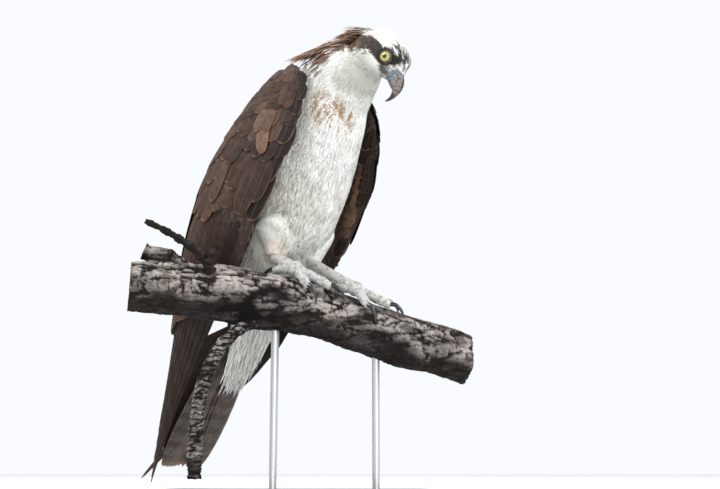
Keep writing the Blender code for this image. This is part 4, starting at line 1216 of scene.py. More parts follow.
def lay_locks(name, roots, ups, tips, half, bow, colours):
    """Long free feathers, each from its root towards a tip in the air, with colours row by row."""
    sideways = unit(np.cross(ups, tips - roots))
    ups = unit(np.cross(tips - roots, sideways))
    places = mix(roots[:, None] - ups[:, None] * 0.0008, tips[:, None], LOCK.along[None, :, None])
    places = places + sideways[:, None] * (LOCK.side * LOCK.wide * half)[None, :, None]
    rise = bow * np.sin(math.pi * LOCK.along) + LOCK.up * LOCK.wide * 0.0003
    places = places + ups[:, None] * rise[None, :, None]
    faces = [skin_tree.find_nearest(point)[2] for point in roots]
    facts = {"light": rng.uniform(0, 0.25, len(roots))}
    piece = feather_mesh(name, LOCK, places, colours, skin_map[faces].mean(1), facts=facts)
    return dress(piece, feather_finish, "white_feathers")


down, aside = rng.uniform(0, 2.6, LOCKS), rng.uniform(-1, 1, LOCKS)
near_x, near_z, far_x, far_z = LOCK_LINE(down)
lock_root, lock_up = nearest_on_skin(in_head(near_x, aside * mix(0.019, 0.030, down / 2.6), near_z))
far_x = far_x + 0.016 * aside**2 + rng.normal(0, 0.002, LOCKS)
far_z = far_z - 0.004 * aside**2 + rng.normal(0, 0.002, LOCKS)
lock_tip = in_head(far_x, aside * mix(0.017, 0.032, down / 2.6), far_z)
lock_tip = mix(lock_root, lock_tip, rng.uniform(0.45, 1.0, LOCKS)[:, None])
lock_base = marking(lock_root, region_of(lock_root))
lock_dark = mix(DARK * 1.5, RUST * 0.9, rng.random((LOCKS, 1)) ** 0.55)
lock_dark = mix(lock_dark, WHITE * 0.9, ease(0.10 - down + rng.normal(0, 0.15, LOCKS), 0.0, 0.2)[:, None])
lock_pale = mix(lock_dark, OCHRE * 1.4, rng.random((LOCKS, 1)) ** 1.5)
lock_colours = mix(lock_base[:, None], lock_dark[:, None], ease(LOCK.along, 0.05, 0.35)[None, :, None])
lock_colours = mix(lock_colours, lock_pale[:, None], ease(LOCK.along, 0.60, 0.95)[None, :, None])
lay_locks("coat_crest", lock_root, lock_up, lock_tip, LOCK_HALF, LOCK_BOW, lock_colours)

# %% [markdown]
# ## Under the tail
# Below the tail's root hangs a soft bunch of white down, longer and looser than the belly's
# feathers, and it ends free. The same free feathers as in the mane make it, only straighter, with
# their tips scattered round one place on the tail's underside.

# %% Down under the tail
TUFTS, TUFT_HALF = 900, 0.0011
tuft_s, tuft_side = rng.uniform(0.235, 0.345, TUFTS), rng.normal(0, 0.55, TUFTS)
tuft_from = body(tuft_s, TAIL_LINE(tuft_s)[0] + 0.030, tuft_side * 0.024)
tuft_root, tuft_up = nearest_on_skin(tuft_from)
tuft_long = rng.uniform(0.020, 0.052, TUFTS)
tuft_tip = tuft_root + DOWN_BODY * tuft_long[:, None] + BELLYWARD * (0.008 - 0.24 * tuft_long)[:, None]
tuft_tip = tuft_tip + LEFT * (rng.normal(0, 0.0035, TUFTS) - tuft_side * 0.003)[:, None]
tuft_tip = tuft_tip + BELLYWARD * rng.normal(0, 0.0020, TUFTS)[:, None]
tuft_tint = mix(WHITE, SHADE, rng.random((TUFTS, 1)) ** 2)
tuft_colours = np.repeat(tuft_tint[:, None], len(LOCK.along), 1)
lay_locks("coat_tufts", tuft_root, tuft_up, tuft_tip, TUFT_HALF, 0.0015, tuft_colours)

# %% Skin finish
skin_finish = Finish("skin", Roughness=0.9)
skin_finish.colour(skin_finish.tint(skin_finish.painted("tint"), (0.7, 0.7, 0.7), skin_finish.noise(300) * 0.4, "MULTIPLY"))
skin_finish.bump(skin_finish.noise(900), 0.0004, 0.5)
dress(skin, skin_finish, "white_feathers", "torso", "neck", "head", "thigh_l", "thigh_r", "wing_l", "wing_r", "tail")

# %% [markdown]
# ## Flight feathers and coverts
# A folded wing is a stack of tiers. Small scale-like coverts cover the wrist, then come median and
# greater coverts, and from under these the long tertials, secondaries and primaries run down to the
# tip. Each tier is a row that is laid from the front edge of the wing to the back, each feather a
# little tilted so that its edge lies on the next one. Only these carry patterns worth drawing, so
# each of them has its own part of the exported image.

# %% Plumes
# Tier: how many feathers, half width, shape, then for its first and last feather the start down the
# wing, place across it at the root and the tip, length, and height of its middle and tip
TIERS = {
    "primary": (9, 0.0115, NARROW, (0.150, 0.02, 0.13, 0.400, -0.0090, -0.0068), (0.150, 0.50, 0.66, 0.290, -0.0045, -0.0018)),
    "secondary": (11, 0.0125, ROUND, (0.140, 0.10, 0.18, 0.160, -0.0012, -0.0004), (0.140, 0.72, 0.74, 0.215, 0.0020, 0.0030)),
    "tertial": (5, 0.0140, NARROW, (0.115, 0.60, 0.64, 0.160, 0.0028, 0.0040), (0.115, 1.00, 0.95, 0.220, 0.0048, 0.0062)),
    "greater_2": (13, 0.0100, ROUND, (0.085, 0.02, 0.04, 0.070, 0.0002, 0.0012), (0.105, 0.95, 0.92, 0.110, 0.0012, 0.0034)),
    "greater_1": (13, 0.0095, ROUND, (0.062, 0.03, 0.04, 0.056, 0.0008, 0.0020), (0.082, 0.97, 0.94, 0.092, 0.0018, 0.0040)),
    "median_2": (14, 0.0090, ROUND, (0.036, 0.02, 0.03, 0.048, 0.0010, 0.0024), (0.060, 0.96, 0.93, 0.078, 0.0018, 0.0038)),
    "median_1": (14, 0.0088, ROUND, (0.018, 0.04, 0.04, 0.040, 0.0012, 0.0026), (0.038, 0.97, 0.94, 0.066, 0.0018, 0.0038)),
    "lesser_5": (14, 0.0076, ROUND, (0.008, 0.02, 0.03, 0.032, 0.0013, 0.0028), (0.022, 0.96, 0.94, 0.050, 0.0018, 0.0038)),
    "lesser_4": (14, 0.0072, ROUND, (-0.001, 0.04, 0.03, 0.028, 0.0014, 0.0030), (0.010, 0.96, 0.94, 0.042, 0.0018, 0.0038)),
    "lesser_3": (13, 0.0068, ROUND, (-0.010, 0.02, 0.02, 0.024, 0.0014, 0.0030), (-0.002, 0.96, 0.94, 0.034, 0.0018, 0.0038)),
    "lesser_2": (12, 0.0066, ROUND, (-0.018, 0.04, 0.02, 0.021, 0.0014, 0.0030), (-0.013, 0.96, 0.94, 0.028, 0.0018, 0.0036)),
    "lesser_1": (10, 0.0064, ROUND, (-0.026, 0.04, 0.02, 0.018, 0.0014, 0.0030), (-0.024, 0.96, 0.94, 0.022, 0.0018, 0.0034)),
    "scapular_2": (4, 0.0150, ROUND, (0.040, 0.80, 0.84, 0.090, 0.0040, 0.0060), (0.036, 1.05, 0.98, 0.110, 0.0046, 0.0070)),
    "scapular_1": (4, 0.0140, ROUND, (0.005, 0.80, 0.84, 0.060, 0.0042, 0.0062), (0.002, 1.05, 1.00, 0.070, 0.0048, 0.0072)),
}
# Feathers of the right wing that stand out in the photograph: half width, then sizes as above, tint
# and strength of the pale edge
LONE_PLUMES = (
    (0.0112, (0.078, 0.11, 0.10, 0.078, 0.0026, 0.0046), (0.050, 0.029, 0.021), 0.30),
    (0.0100, (0.070, 0.06, 0.05, 0.066, 0.0024, 0.0040), (0.040, 0.023, 0.017), 0.30),
    (0.0086, (0.032, 0.22, 0.12, 0.048, 0.0030, 0.0046), (0.190, 0.112, 0.072), 0.45),
    (0.0070, (0.018, 0.19, 0.17, 0.040, 0.0032, 0.0048), (0.125, 0.072, 0.047), 0.65),
    (0.0066, (0.020, 0.27, 0.22, 0.040, 0.0030, 0.0046), (0.150, 0.088, 0.056), 0.60),
    (0.0066, (0.088, 0.32, 0.30, 0.066, 0.0030, 0.0044), (0.090, 0.052, 0.036), 0.55),
    (0.0060, (0.060, 0.48, 0.46, 0.046, 0.0030, 0.0044), (0.085, 0.050, 0.035), 0.55),
)
TILT = 0.060
SINK = 0.003
PLUME_THICK = 0.00035
SHAFT = 0.00025
TAN = np.array((0.24, 0.140, 0.085))
EDGE_ROOM = 16


def wing_plume(shape, side, half, start, root_b, tip_b, length, middle, tip):
    s = start + length * shape.along
    b = mix(root_b, tip_b, shape.along)
    spread = np.linalg.norm(wing_face(s, b + 0.01) - wing_face(s, b - 0.01), axis=-1) / 0.02
    low = mix(min(middle, 0) - SINK, middle, np.minimum(shape.along / 0.3, 1))
    rise = low + (tip - middle) * np.clip((shape.along - 0.3) / 0.7, 0, 1)
    off = shape.side * shape.wide * half
    dome = 0.0006 * (1 - shape.side**2)
    ridge = np.where(np.abs(shape.side) < 0.1, SHAFT * (1 - shape.along), 0)
    lens = shape.up * (PLUME_THICK + ridge)
    return wing_point(s, b + off / spread, rise - TILT * off + dome + lens, side)


def plume_colours(tier, side, start, length, root_b, tip_b):
    """A plume's ground colour, the strength of its pale edge and of its bars."""
    if tier == "primary":
        return DARK * 0.9, 0.10, 0.5
    if tier == "secondary":
        return mix(DARK, BROWN, float(ease(tip_b, 0.15, 0.40)) * 0.7), 0.20, 0.0
    front = float(ease(tip_b, 0.04, 0.13)) * float(ease(start + length, 0.16, 0.05))
    bright = rng.uniform(0.45, 1.20)
    ground = mix(DARK * 0.6, BROWN * bright, max(front, float(ease(tip_b, 0.08, 0.20))))
    edge = rng.uniform(0.15, 0.95) ** 1.2
    if tier.startswith(("greater", "median")):
        edge *= 0.7
    if tier.startswith("lesser"):
        edge *= 0.55
    if side == LEFT_SIDE:
        ground, edge = ground * 0.5, edge * 1.2 if tip_b > 0.22 else 0.10
    return ground, edge, 0.0


plumes = {"round": [], "narrow": []}
for tier, (count, half, shape, first, last) in TIERS.items():
    loose = 0.3 if shape is NARROW or tier == "secondary" else 1.0
    for side in SIDES:
        for k in range(count):
            sizes = [mix(a, b, k / (count - 1)) for a, b in zip(first, last)]
            sizes[0] += rng.normal(0, 0.0032) * loose
            sizes[3] *= rng.normal(1, 0.06 * loose)
            sizes[2] += rng.normal(0, 0.012) * loose
            sizes[5] += rng.normal(0, 0.0003) * loose
            places = wing_plume(shape, side, half * rng.normal(1, 0.07), *sizes)
            ground, edge, bars = plume_colours(tier, side, sizes[0], sizes[3], sizes[1], sizes[2])
            kind = "round" if shape is ROUND else "narrow"
            plumes[kind].append((places, ground * rng.normal(1, 0.10), edge, bars))
for half, sizes, tint, edge in LONE_PLUMES:
    plumes["round"].append((wing_plume(ROUND, RIGHT_SIDE, half, *sizes), np.array(tint), edge, 0.0))

# %% [markdown]
# ## Front of the left wing
# Seen from the front, the left wing shows its leading face: dark rows of small coverts, and one row of
# larger tan ones. The rows could be placed on the wing's own grid, but that grid runs over the outer
# face. Here each row starts from a line beside the breast, at a set distance towards the belly, and its
# feathers are then laid on the nearest skin, so they follow the wing wherever it turns.

# %% Coverts on the front of the left wing
# How far a row lies towards the belly: half width, length, number of feathers, strength of the pale
# edge, share of tan
FRONT_ROWS = {
    0.038: (0.0065, 0.022, 15, 0.15, 0.00),
    0.030: (0.0070, 0.023, 15, 0.35, 0.03),
    0.0215: (0.0088, 0.034, 9, 0.90, 0.95),
    0.013: (0.0070, 0.025, 14, 0.55, 0.06),
    0.005: (0.0070, 0.022, 15, 0.20, 0.00),
}
TAN_ROW = 0.0215
for w, (half, long, count, edge, tan) in FRONT_ROWS.items():
    s = np.linspace(-0.012, 0.145 if w == TAN_ROW else 0.090, count) + rng.normal(0, 0.0012, count)
    near_wing = body(s, np.full(count, w), mix(0.058, 0.082, ease(s, -0.02, 0.16)))
    roots, ups = nearest_on_skin(near_wing)
    ahead = DOWN_BODY - BELLYWARD * 0.12
    ahead = unit(ahead - ups * (ups @ ahead)[:, None])
    size = rng.normal(1, 0.08, len(s))
    lift = rng.uniform(0.0018, 0.0026, len(s))
    places = laid(ROUND, roots, ups, ahead, long * size, half * size, np.full(len(s), PLUME_THICK), lift)
    for k, place in enumerate(places):
        shown = tan * float(ease(s[k], 0.03, 0.06) * ease(s[k], 0.15, 0.10)) * rng.uniform(0.6, 1.0)
        tint = mix(DARK * 0.8, TAN * 1.15, shown)
        rim = edge * rng.uniform(0.7, 1.1)
        # A row that starts ahead of the wing's front edge would lie on the neck
        if w < WING(s[k])[0] + 0.003:
            plumes["round"].append((place, tint, rim, 0.0))

# %% Tail
TAIL_COUNT = 12
TAIL_HALF, TAIL_STEP, TAIL_FAN = 0.0155, 0.0026, math.radians(0.72)
TAIL_ASIDE, TAIL_LAYER = 0.0045, 0.0009
# The loose feather beside the tail: share of its length, sideways place, depth below the tail's line
SIDE_LINE = smooth_rows(
    [
        (0.00, -0.006, 0.0000),
        (0.07, -0.013, 0.0010),
        (0.16, -0.032, 0.0070),
        (0.30, -0.037, 0.0095),
        (0.50, -0.034, 0.0095),
        (0.75, -0.026, 0.0085),
        (1.00, -0.018, 0.0075),
    ]
)
SIDE_HALF, SIDE_LENGTH = 0.0150, 0.222
for k in range(TAIL_COUNT):
    order = k - (TAIL_COUNT - 1) / 2
    layer = 2 * min(k, TAIL_COUNT - 1 - k) + (1 if order > 0 else 0)
    drop = (layer - (TAIL_COUNT - 1) / 2) * TAIL_LAYER
    length = TAIL_LENGTH - 0.006 * (abs(order) / 5.5) ** 2
    s = TAIL_ROOT + length * NARROW.along
    off = NARROW.side * NARROW.wide * TAIL_HALF
    fan = order * (TAIL_STEP + math.tan(TAIL_FAN) * TAIL_LENGTH * NARROW.along)
    ridge = np.where(np.abs(NARROW.side) < 0.1, SHAFT, 0)
    height = NARROW.up * (PLUME_THICK + ridge) - 0.0004 * NARROW.side**2
    places = body(s, TAIL_LINE(s)[0] - drop + height, fan + off + TAIL_ASIDE * NARROW.along)
    tint = mix(GREY, BROWN, 0.5) * rng.uniform(0.65, 0.95)
    plumes["narrow"].append((places, tint, rng.uniform(0.3, 0.7), rng.uniform(0.45, 0.85)))
side, drop = SIDE_LINE(ROUND.along)
s = TAIL_ROOT + SIDE_LENGTH * ROUND.along
side = side + ROUND.side * ROUND.wide * SIDE_HALF
places = body(s, TAIL_LINE(s)[0] - drop + ROUND.up * PLUME_THICK, side)
plumes["round"].append((places, mix(GREY, BROWN, 0.7) * 0.6, 0.9, 0.5))

# %% Finish of the plumes
plume_finish = Finish("plumes", Roughness=0.65, **{"Specular IOR Level": 0.22})
across, along = plume_finish.across_and_along()
off_shaft = (across - 0.5).size() * 2
barbs = ((along * 90 - off_shaft * 14) * math.tau).wave()
streaks = plume_finish.noise(30, 4, plume_finish.node("ShaderNodeCombineXYZ", None, {0: across * 0.6 + along * 2, 1: along * 0.25}))
ground = plume_finish.tint(plume_finish.painted("tint"), (0.45, 0.42, 0.40), streaks.step(0.35, 0.7), "MULTIPLY")
mottle = plume_finish.noise(150, 4).step(0.42, 0.66)
ground = plume_finish.tint(ground, (0.58, 0.54, 0.52), mottle * 0.8, "MULTIPLY")
uneven = plume_finish.noise(45, 2) * 3.2
bar = (along * 10.5 * math.tau + off_shaft * 0.9 + uneven).wave().step(-0.1, 0.45) * plume_finish.painted("bars", 2)
ground = plume_finish.tint(ground, (0.035, 0.025, 0.02), bar * 0.8)
shaft = 1 - off_shaft.step(0.03, 0.07)
ground = plume_finish.tint(ground, (0.13, 0.085, 0.06), shaft * 0.28)
rim = off_shaft.step(0.72, 0.96) * along.step(0.2, 0.7)
rim = rim.maths("MAXIMUM", rim, along.step(0.93, 0.985)) * plume_finish.painted("edge", 2)
plume_finish.colour(plume_finish.tint(ground, tuple(TAN), rim))
plume_finish.bump(barbs * 0.3 + shaft, 0.0001, 0.4)
for kind, shape in (("round", ROUND), ("narrow", NARROW)):
    places, ground, edge, bars = (np.array(part) for part in zip(*plumes[kind]))
    across_image = int(math.ceil(math.sqrt(len(places))))
    cell = 1 / across_image
    order = np.arange(len(places))
    cells = np.stack([order % across_image * cell, order // across_image * cell], 1) + cell / EDGE_ROOM
    cells = np.concatenate([cells, np.full((len(places), 2), cell * (1 - 2 / EDGE_ROOM))], 1)
    facts = {"edge": edge, "bars": bars}
    piece = feather_mesh(f"plumes_{kind}", shape, places, ground, cells=cells, facts=facts)
    dress(piece, plume_finish, "brown_feathers")


# %% [markdown]
# ## Eyes
# The eye is a bright yellow ring round a black pupil, under a wet dome, with a black rim of lid.
# A texture would blur at this size. The ball is a fine sphere whose points know how far they are
# from the middle of the pupil, and the finish turns that distance into rings.

# %% Eyes and lids
PUPIL, IRIS = math.radians(18), math.radians(49)
eye_finish = Finish("eye", Roughness=0.08, **{"Coat Weight": 1.0, "Coat Roughness": 0.02})
from_middle = eye_finish.painted("from_middle", 2)
fibres = eye_finish.noise(1500, 2)
iris = eye_finish.tint((0.32, 0.26, 0.026), (0.21, 0.16, 0.015), fibres.step(0.35, 0.7))
iris = eye_finish.tint((0.42, 0.35, 0.052), iris, from_middle.step(PUPIL, IRIS))
iris = eye_finish.tint(iris, (0.12, 0.085, 0.012), from_middle.step(IRIS - 0.16, IRIS))
iris = eye_finish.tint((0.004, 0.004, 0.004), iris, from_middle.step(PUPIL - 0.03, PUPIL + 0.03))
eye_finish.colour(eye_finish.tint(iris, (0.006, 0.005, 0.005), from_middle.step(IRIS - 0.05, IRIS + 0.03)))
lid_finish = Finish("lids", Roughness=0.40)
lid_finish.colour(lid_finish.painted("tint"))
lid_finish.bump(lid_finish.noise(2500), 0.0002, 0.4)
for side, tag in SIDES.items():
    place, axes = eye_frame(side)

    def ball_surface(share, angle):
        turn = share * math.pi
        spread = np.stack([np.cos(turn), np.sin(turn) * np.cos(angle), np.sin(turn) * np.sin(angle)], -1)
        return place + (spread * EYE_RADIUS) @ axes

    ball = finish_mesh("eyeball_" + tag, blob(48, 40, ball_surface))
    away = unit(vertices_of(ball) - place) @ axes[0]
    layer = ball.data.attributes.new("from_middle", "FLOAT", "POINT")
    layer.data.foreach_set("value", np.arccos(np.clip(away, -1, 1)))
    dress(ball, eye_finish, "eye", "eye_" + tag)
    reach = math.sqrt(EYE_RADIUS**2 - LID_RADIUS**2)
    lid = bmesh.new()
    bmesh.ops.create_circle(lid, segments=12, radius=0.0008)
    for vert in lid.verts:
        vert.co = Vector((reach + 0.0001 + vert.co.x, LID_RADIUS + 0.0002 + vert.co.y * 0.9, 0))
    bmesh.ops.spin(
        lid, geom=lid.verts[:] + lid.edges[:], cent=(0, 0, 0), axis=(1, 0, 0), angle=math.tau, steps=48, use_merge=True
    )
    for vert in lid.verts:
        vert.co = Vector(place + np.array(vert.co) @ axes)
    lid = finish_mesh("lid_" + tag, lid)
    # The upper part of the black lid is painted a lighter blue-grey: a painted highlight.
    height = (vertices_of(lid) - place) @ HEAD_UP / LID_RADIUS
    lid_colour_and_highlight = over(np.tile((0.012, 0.012, 0.014), (len(height), 1)), (0.050, 0.062, 0.074), ease(height, 0.55, 0.95))
    paint(lid, "tint", lid_colour_and_highlight)
    dress(lid, lid_finish, "horn")

# %% [markdown]
# ## The bill
# The upper half bends down into a long hook. Its base is wrapped in soft blue-grey skin, the cere,
# which carries the nostrils. The ridge and the hook are glossy black horn and the sides are duller.
# The halves are drawn again from the curve of the solids, with many more rings, and painted by how
# far along and how high on the side each point lies.

# %% Bill
BILL_START = (0.0170, -0.0085)
BILL_LENGTH = 0.041
BILL_SIZES = smooth_rows(
    [
        (0.00, 0.0098, 0.0092),
        (0.25, 0.0098, 0.0078),
        (0.50, 0.0072, 0.0056),
        (0.60, 0.0052, 0.0044),
        (0.72, 0.0031, 0.0029),
        (0.88, 0.0017, 0.0016),
        (1.00, 0.0005, 0.0005),
    ]
)
BILL_START_SLOPE = math.radians(-6)
BILL_HOOK = math.radians(117)


def bill_line(share, length, hook, start):
    """Place and slope, in the head's middle plane, along a line that bends down more and more."""
    steps = 24
    share = np.asarray(share, float)
    q = (np.arange(steps) + 0.5)[:, None] / steps * share[None]
    slope = BILL_START_SLOPE - hook * q**1.5
    x = start[0] + (np.cos(slope) * length * share / steps).sum(0)
    z = start[1] + (np.sin(slope) * length * share / steps).sum(0)
    return x, z, slope[-1]


def bill_upper(share, angle):
    x, z, slope = bill_line(share, BILL_LENGTH, BILL_HOOK, BILL_START)
    high, wide = BILL_SIZES(share)
    closed = np.where(at_pole(share), 0, 1)
    flat = np.minimum(0.62 + np.maximum(0, share - 0.55) * 2, 1)
    lift = high * np.sin(angle) * np.where(np.sin(angle) < 0, flat, 1.0) * closed
    side = wide * np.cos(angle) * closed
    return in_head(x - np.sin(slope) * lift, side, z + np.cos(slope) * lift)


def bill_lower(share, angle):
    x, z, slope = bill_line(share, 0.021, math.radians(24), (0.0150, -0.0140))
    closed = np.where(at_pole(share), 0, 1)
    lift = 0.0042 * np.sqrt(np.maximum(0, 1 - share**3)) * np.sin(angle) * closed
    side = (0.0070 * np.sqrt(np.maximum(0, 1 - share**2)) + 0.0004) * np.cos(angle) * closed
    return in_head(x - np.sin(slope) * lift, side, z + np.cos(slope) * lift)


horn_finish = Finish("horn", **{"Coat Weight": 0.3, "Coat Roughness": 0.15})
marks = horn_finish.noise(500, 4)
horn_finish.colour(horn_finish.tint(horn_finish.painted("tint"), (0.45, 0.42, 0.40), marks.step(0.4, 0.65), "MULTIPLY"))
horn_finish.roughness(horn_finish.painted("dull", 2) * 0.55 + 0.12 + marks * 0.1)
horn_finish.bump(marks + horn_finish.noise(1800) * 0.4, 0.0003, 0.4)
SIDE_HORN = np.array((0.17, 0.145, 0.13))
PINK_HORN = np.array((0.36, 0.22, 0.18))
BLACK_HORN = np.array((0.010, 0.010, 0.012))
NOSTRIL, NOSTRIL_TURN, NOSTRIL_LONG, NOSTRIL_HIGH = (0.0205, -0.0058), math.radians(28), 0.0036, 0.0011
for name, surface, sides, rings in (("bill_upper", bill_upper, 64, 96), ("bill_lower", bill_lower, 48, 48)):
    piece = finish_mesh("horn_" + name, blob(sides, rings, surface))
    points, normals = vertices_of(piece), vertex_normals(piece)
    x, y, z = read_in(points, HEAD_MIDDLE, HEAD_AXES).T
    up_x, _, up_z = read_in(normals, 0, HEAD_AXES).T
    grain, flecks = rough(points, 500, 1), rough(points, 1100, 4)
    colours = over(np.tile(SIDE_HORN, (len(points), 1)), SIDE_HORN * 0.45, ease(grain, 0.0, 0.35) * 0.8)
    colours = over(colours, PINK_HORN, ease(-grain, 0.05, 0.35) * 0.55)
    colours = over(colours, (0.45, 0.42, 0.38), ease(flecks, 0.30, 0.45) * 0.5)
    cere = ease(0.0290 + grain * 0.0012 - x - 0.25 * (z + 0.008), 0.0, 0.0014)
    bare_skin = over(np.tile(CERE * 1.25, (len(points), 1)), CERE * 0.40, ease(grain + flecks, -0.05, 0.35))
    colours = mix(colours, bare_skin * (0.6 if name == "bill_lower" else 1.0), cere[:, None])
    ridge = ease(up_x * 0.80 + up_z * 0.60, 0.80, 0.93) * (1 - cere)
    hook = ease(-z + 0.25 * x + grain * 0.002, 0.0285, 0.0325)
    black = np.maximum(ridge, hook) * (name == "bill_upper")
    colours = over(colours, BLACK_HORN, black)
    dx, dz = x - NOSTRIL[0], z - NOSTRIL[1]
    long_way = dx * math.cos(NOSTRIL_TURN) + dz * math.sin(NOSTRIL_TURN)
    high_way = dz * math.cos(NOSTRIL_TURN) - dx * math.sin(NOSTRIL_TURN)
    hole = ease(1.3 - np.hypot(long_way / NOSTRIL_LONG, high_way / NOSTRIL_HIGH), 0.0, 0.6) * (np.abs(y) > 0.002)
    hole = hole * (name == "bill_upper")
    colours = over(colours, BLACK_HORN, np.clip(hole * 1.4, 0, 1))
    move_vertices(piece, points + normals * (grain * 0.00012 + flecks * 0.00005 - hole * 0.0010)[:, None])
    paint(piece, "tint", colours)
    layer = piece.data.attributes.new("dull", "FLOAT", "POINT")
    layer.data.foreach_set("value", 1 - 0.75 * black)
    dress(piece, horn_finish, "horn", name)

# %% [markdown]
# ## Feet and claws
# An osprey's toes are thick, pale and covered with rough scales that hold a slippery catch, and the
# claws are long, round and black. The toes are rods that bend round the branch, melted with the palm
# and the shank into one foot. Scales are raised rings along each toe, with a fine cell pattern in the finish.

# %% Feet
PALM_RADIUS, TARSUS_RADIUS = 0.0095, 0.0075
TOES = (
    ("inner", -14, -2, 0.036, 0.0054),
    ("middle", 14, 24, 0.042, 0.0056),
    ("outer", 74, 50, 0.032, 0.0053),
    ("back", 205, 235, 0.026, 0.0054),
)
CLAW_LENGTH, CLAW_RADIUS, CLAW_SUNK = 0.031, 0.0031, 0.003
CLAW_BEND, CLAW_LEAN = math.radians(115), math.radians(40)
TOE_STEPS = 12


def toe_path(start, turn_a, turn_b, length, radius):
    """A line over the bark from the foot's middle, which bends from one turn to the other."""
    stand = radius + GAP
    x, around = start[0], math.radians(start[1])
    places = [(x, around)]
    for k in range(TOE_STEPS):
        turn = math.radians(mix(turn_a, turn_b, (k + 0.5) / TOE_STEPS))
        reach = float(branch_axis(x)[1]) + stand
        step = length / TOE_STEPS
        x, around = x + math.cos(turn) * step, around + math.sin(turn) * step / reach
        places.append((x, around))
    places = np.array(places)

    def path(q):
        at = np.linspace(0, 1, TOE_STEPS + 1)
        x, around = np.interp(q, at, places[:, 0]), np.interp(q, at, places[:, 1])
        rise = 0.0045 * (1 - q) ** 2 + 0.0010 * np.sin(math.pi * q)
        return branch_point(x, around, stand + rise)

    return path, places[-1]


foot_finish = Finish("foot_skin", Roughness=0.55, **{"Subsurface Weight": 0.1, "Subsurface Scale": 0.002})
grain = foot_finish.noise(700, 4)
foot_finish.colour(foot_finish.tint(foot_finish.painted("tint"), (0.55, 0.52, 0.48), grain.step(0.35, 0.75), "MULTIPLY"))
foot_finish.bump(foot_finish.cells(900) + grain, 0.0003, 0.5)
claw_finish = Finish("claws", Roughness=0.12, **{"Base Color": (0.008, 0.008, 0.010, 1), "Coat Weight": 0.5})
claw_finish.bump(claw_finish.noise(300, 2), 0.0002, 0.3)
FOOT_SKIN = np.array((0.50, 0.50, 0.48))
for side, tag in SIDES.items():
    start = LEGS[side][2]
    middle = branch_point(start[0], math.radians(start[1]), PALM_RADIUS + 0.001)
    parts = []

    def palm(share, angle):
        turn = share * math.pi
        ball = np.stack([np.sin(turn) * np.cos(angle), np.sin(turn) * np.sin(angle), np.cos(turn)], -1)
        return middle + PALM_RADIUS * ball

    parts.append(blob(32, 24, palm))
    for toe, turn_a, turn_b, length, radius in TOES:
        path, end = toe_path(start, turn_a, turn_b, length, radius)
        thickness = lambda q, radius=radius: radius * (1.08 - 0.22 * q + 0.07 * np.sin(q * 3 * math.tau))
        scutes = lambda q, angle, length=length: 0.00050 * np.abs(np.sin(q * length / 0.0026 * math.pi)) ** 0.6
        parts.append(rod(path, thickness, 24, 60, swell=scutes))
        tip, before = path(np.array((1.0, 0.94)))
        ahead = unit(tip - before)
        out = branch_point(*end, 0.02) - branch_point(*end, 0.0)
        out = unit(out - ahead * (out @ ahead))
        bend = CLAW_LENGTH / CLAW_BEND

        def claw_path(q):
            turn = CLAW_BEND * q - CLAW_LEAN
            reach = bend * (np.sin(turn) + math.sin(CLAW_LEAN)) - CLAW_SUNK
            lift = bend * (np.cos(turn) - math.cos(CLAW_LEAN))
            return tip + reach[..., None] * ahead + lift[..., None] * out

        claw = rod(claw_path, lambda q: CLAW_RADIUS * (1 - q) ** 0.75 + 0.0003, 20, 32)
        dress(finish_mesh(f"talon_{tag}_{toe}", claw), claw_finish, "horn", f"claw_{tag}_{toe}")
    heel = bird(*LEGS[side][1])
    shank = lambda q: mix(heel, middle, np.asarray(q)[..., None])
    shank_size = lambda q: TARSUS_RADIUS * (1.05 - 0.15 * np.sin(math.pi * q))
    parts.append(rod(shank, shank_size, 32, 40))
    foot = fuse(gather("toes_" + tag, parts), 0.0007, 2)
    points = vertices_of(foot)
    colours = over(np.tile(FOOT_SKIN, (len(points), 1)), FOOT_SKIN * 0.6, ease(rough(points, 250, 6), 0.0, 0.5))
    paint(foot, "tint", colours)
    dress(foot, foot_finish, "foot_skin", "foot_" + tag, "tarsus_" + tag)

# %% [markdown]
# ## The branch
# Old bark is grey, cracked along the limb and lifted into plates, with knots where twigs stood.
# Bump alone would leave a smooth outline, so the cracks and plates are real hollows and rises in a
# fine mesh. The finish adds grain, and the painted colours add pale flecks, painted light on the tops,
# painted shade on the undersides and round the knot, and painted shade in the cracks from the same heights.

# %% Branch and twigs
BARK_RINGS, BARK_SIDES = 260, 120
RING_GAP, YEAR_RING = 0.0058, 0.0019
WOOD = np.array((0.36, 0.25, 0.15))
TWIG_UP = (
    (-0.090, 0.026, -0.014, 0.0062),
    (-0.103, 0.034, 0.006, 0.0054),
    (-0.120, 0.036, 0.018, 0.0048),
    (-0.138, 0.036, 0.029, 0.0044),
    (-0.163, 0.034, 0.041, 0.0036),
)
TWIG_FORK = (
    (-0.094, 0.034, -0.004, 0.0042),
    (-0.089, 0.037, 0.006, 0.0040),
    (-0.083, 0.038, 0.016, 0.0040),
)
TWIG_DOWN = (
    (-0.043, 0.004, -0.064, 0.0082),
    (-0.062, 0.016, -0.078, 0.0072),
    (-0.080, 0.020, -0.098, 0.0080),
    (-0.092, 0.022, -0.126, 0.0084),
    (-0.099, 0.022, -0.154, 0.0084),
    (-0.103, 0.021, -0.200, 0.0086),
    (-0.103, 0.020, -0.242, 0.0082),
)
STUB = (
    (-0.100, -0.002, -0.022, 0.0150),
    (-0.135, 0.002, -0.002, 0.0140),
    (-0.170, 0.003, 0.012, 0.0110),
)


def branch_surface(share, angle):
    q = np.clip((share - 1 / BARK_RINGS) / (1 - 2 / BARK_RINGS), 0, 1)
    x = mix(*BRANCH_ENDS, q)
    knobs = np.sin(3 * angle + 40 * x) + np.sin(5 * angle - 75 * x + 1) * 0.6
    height = np.where(at_pole(share), -BRANCH(x)[1], KNOBS * knobs)
    return branch_point(x, angle, height)


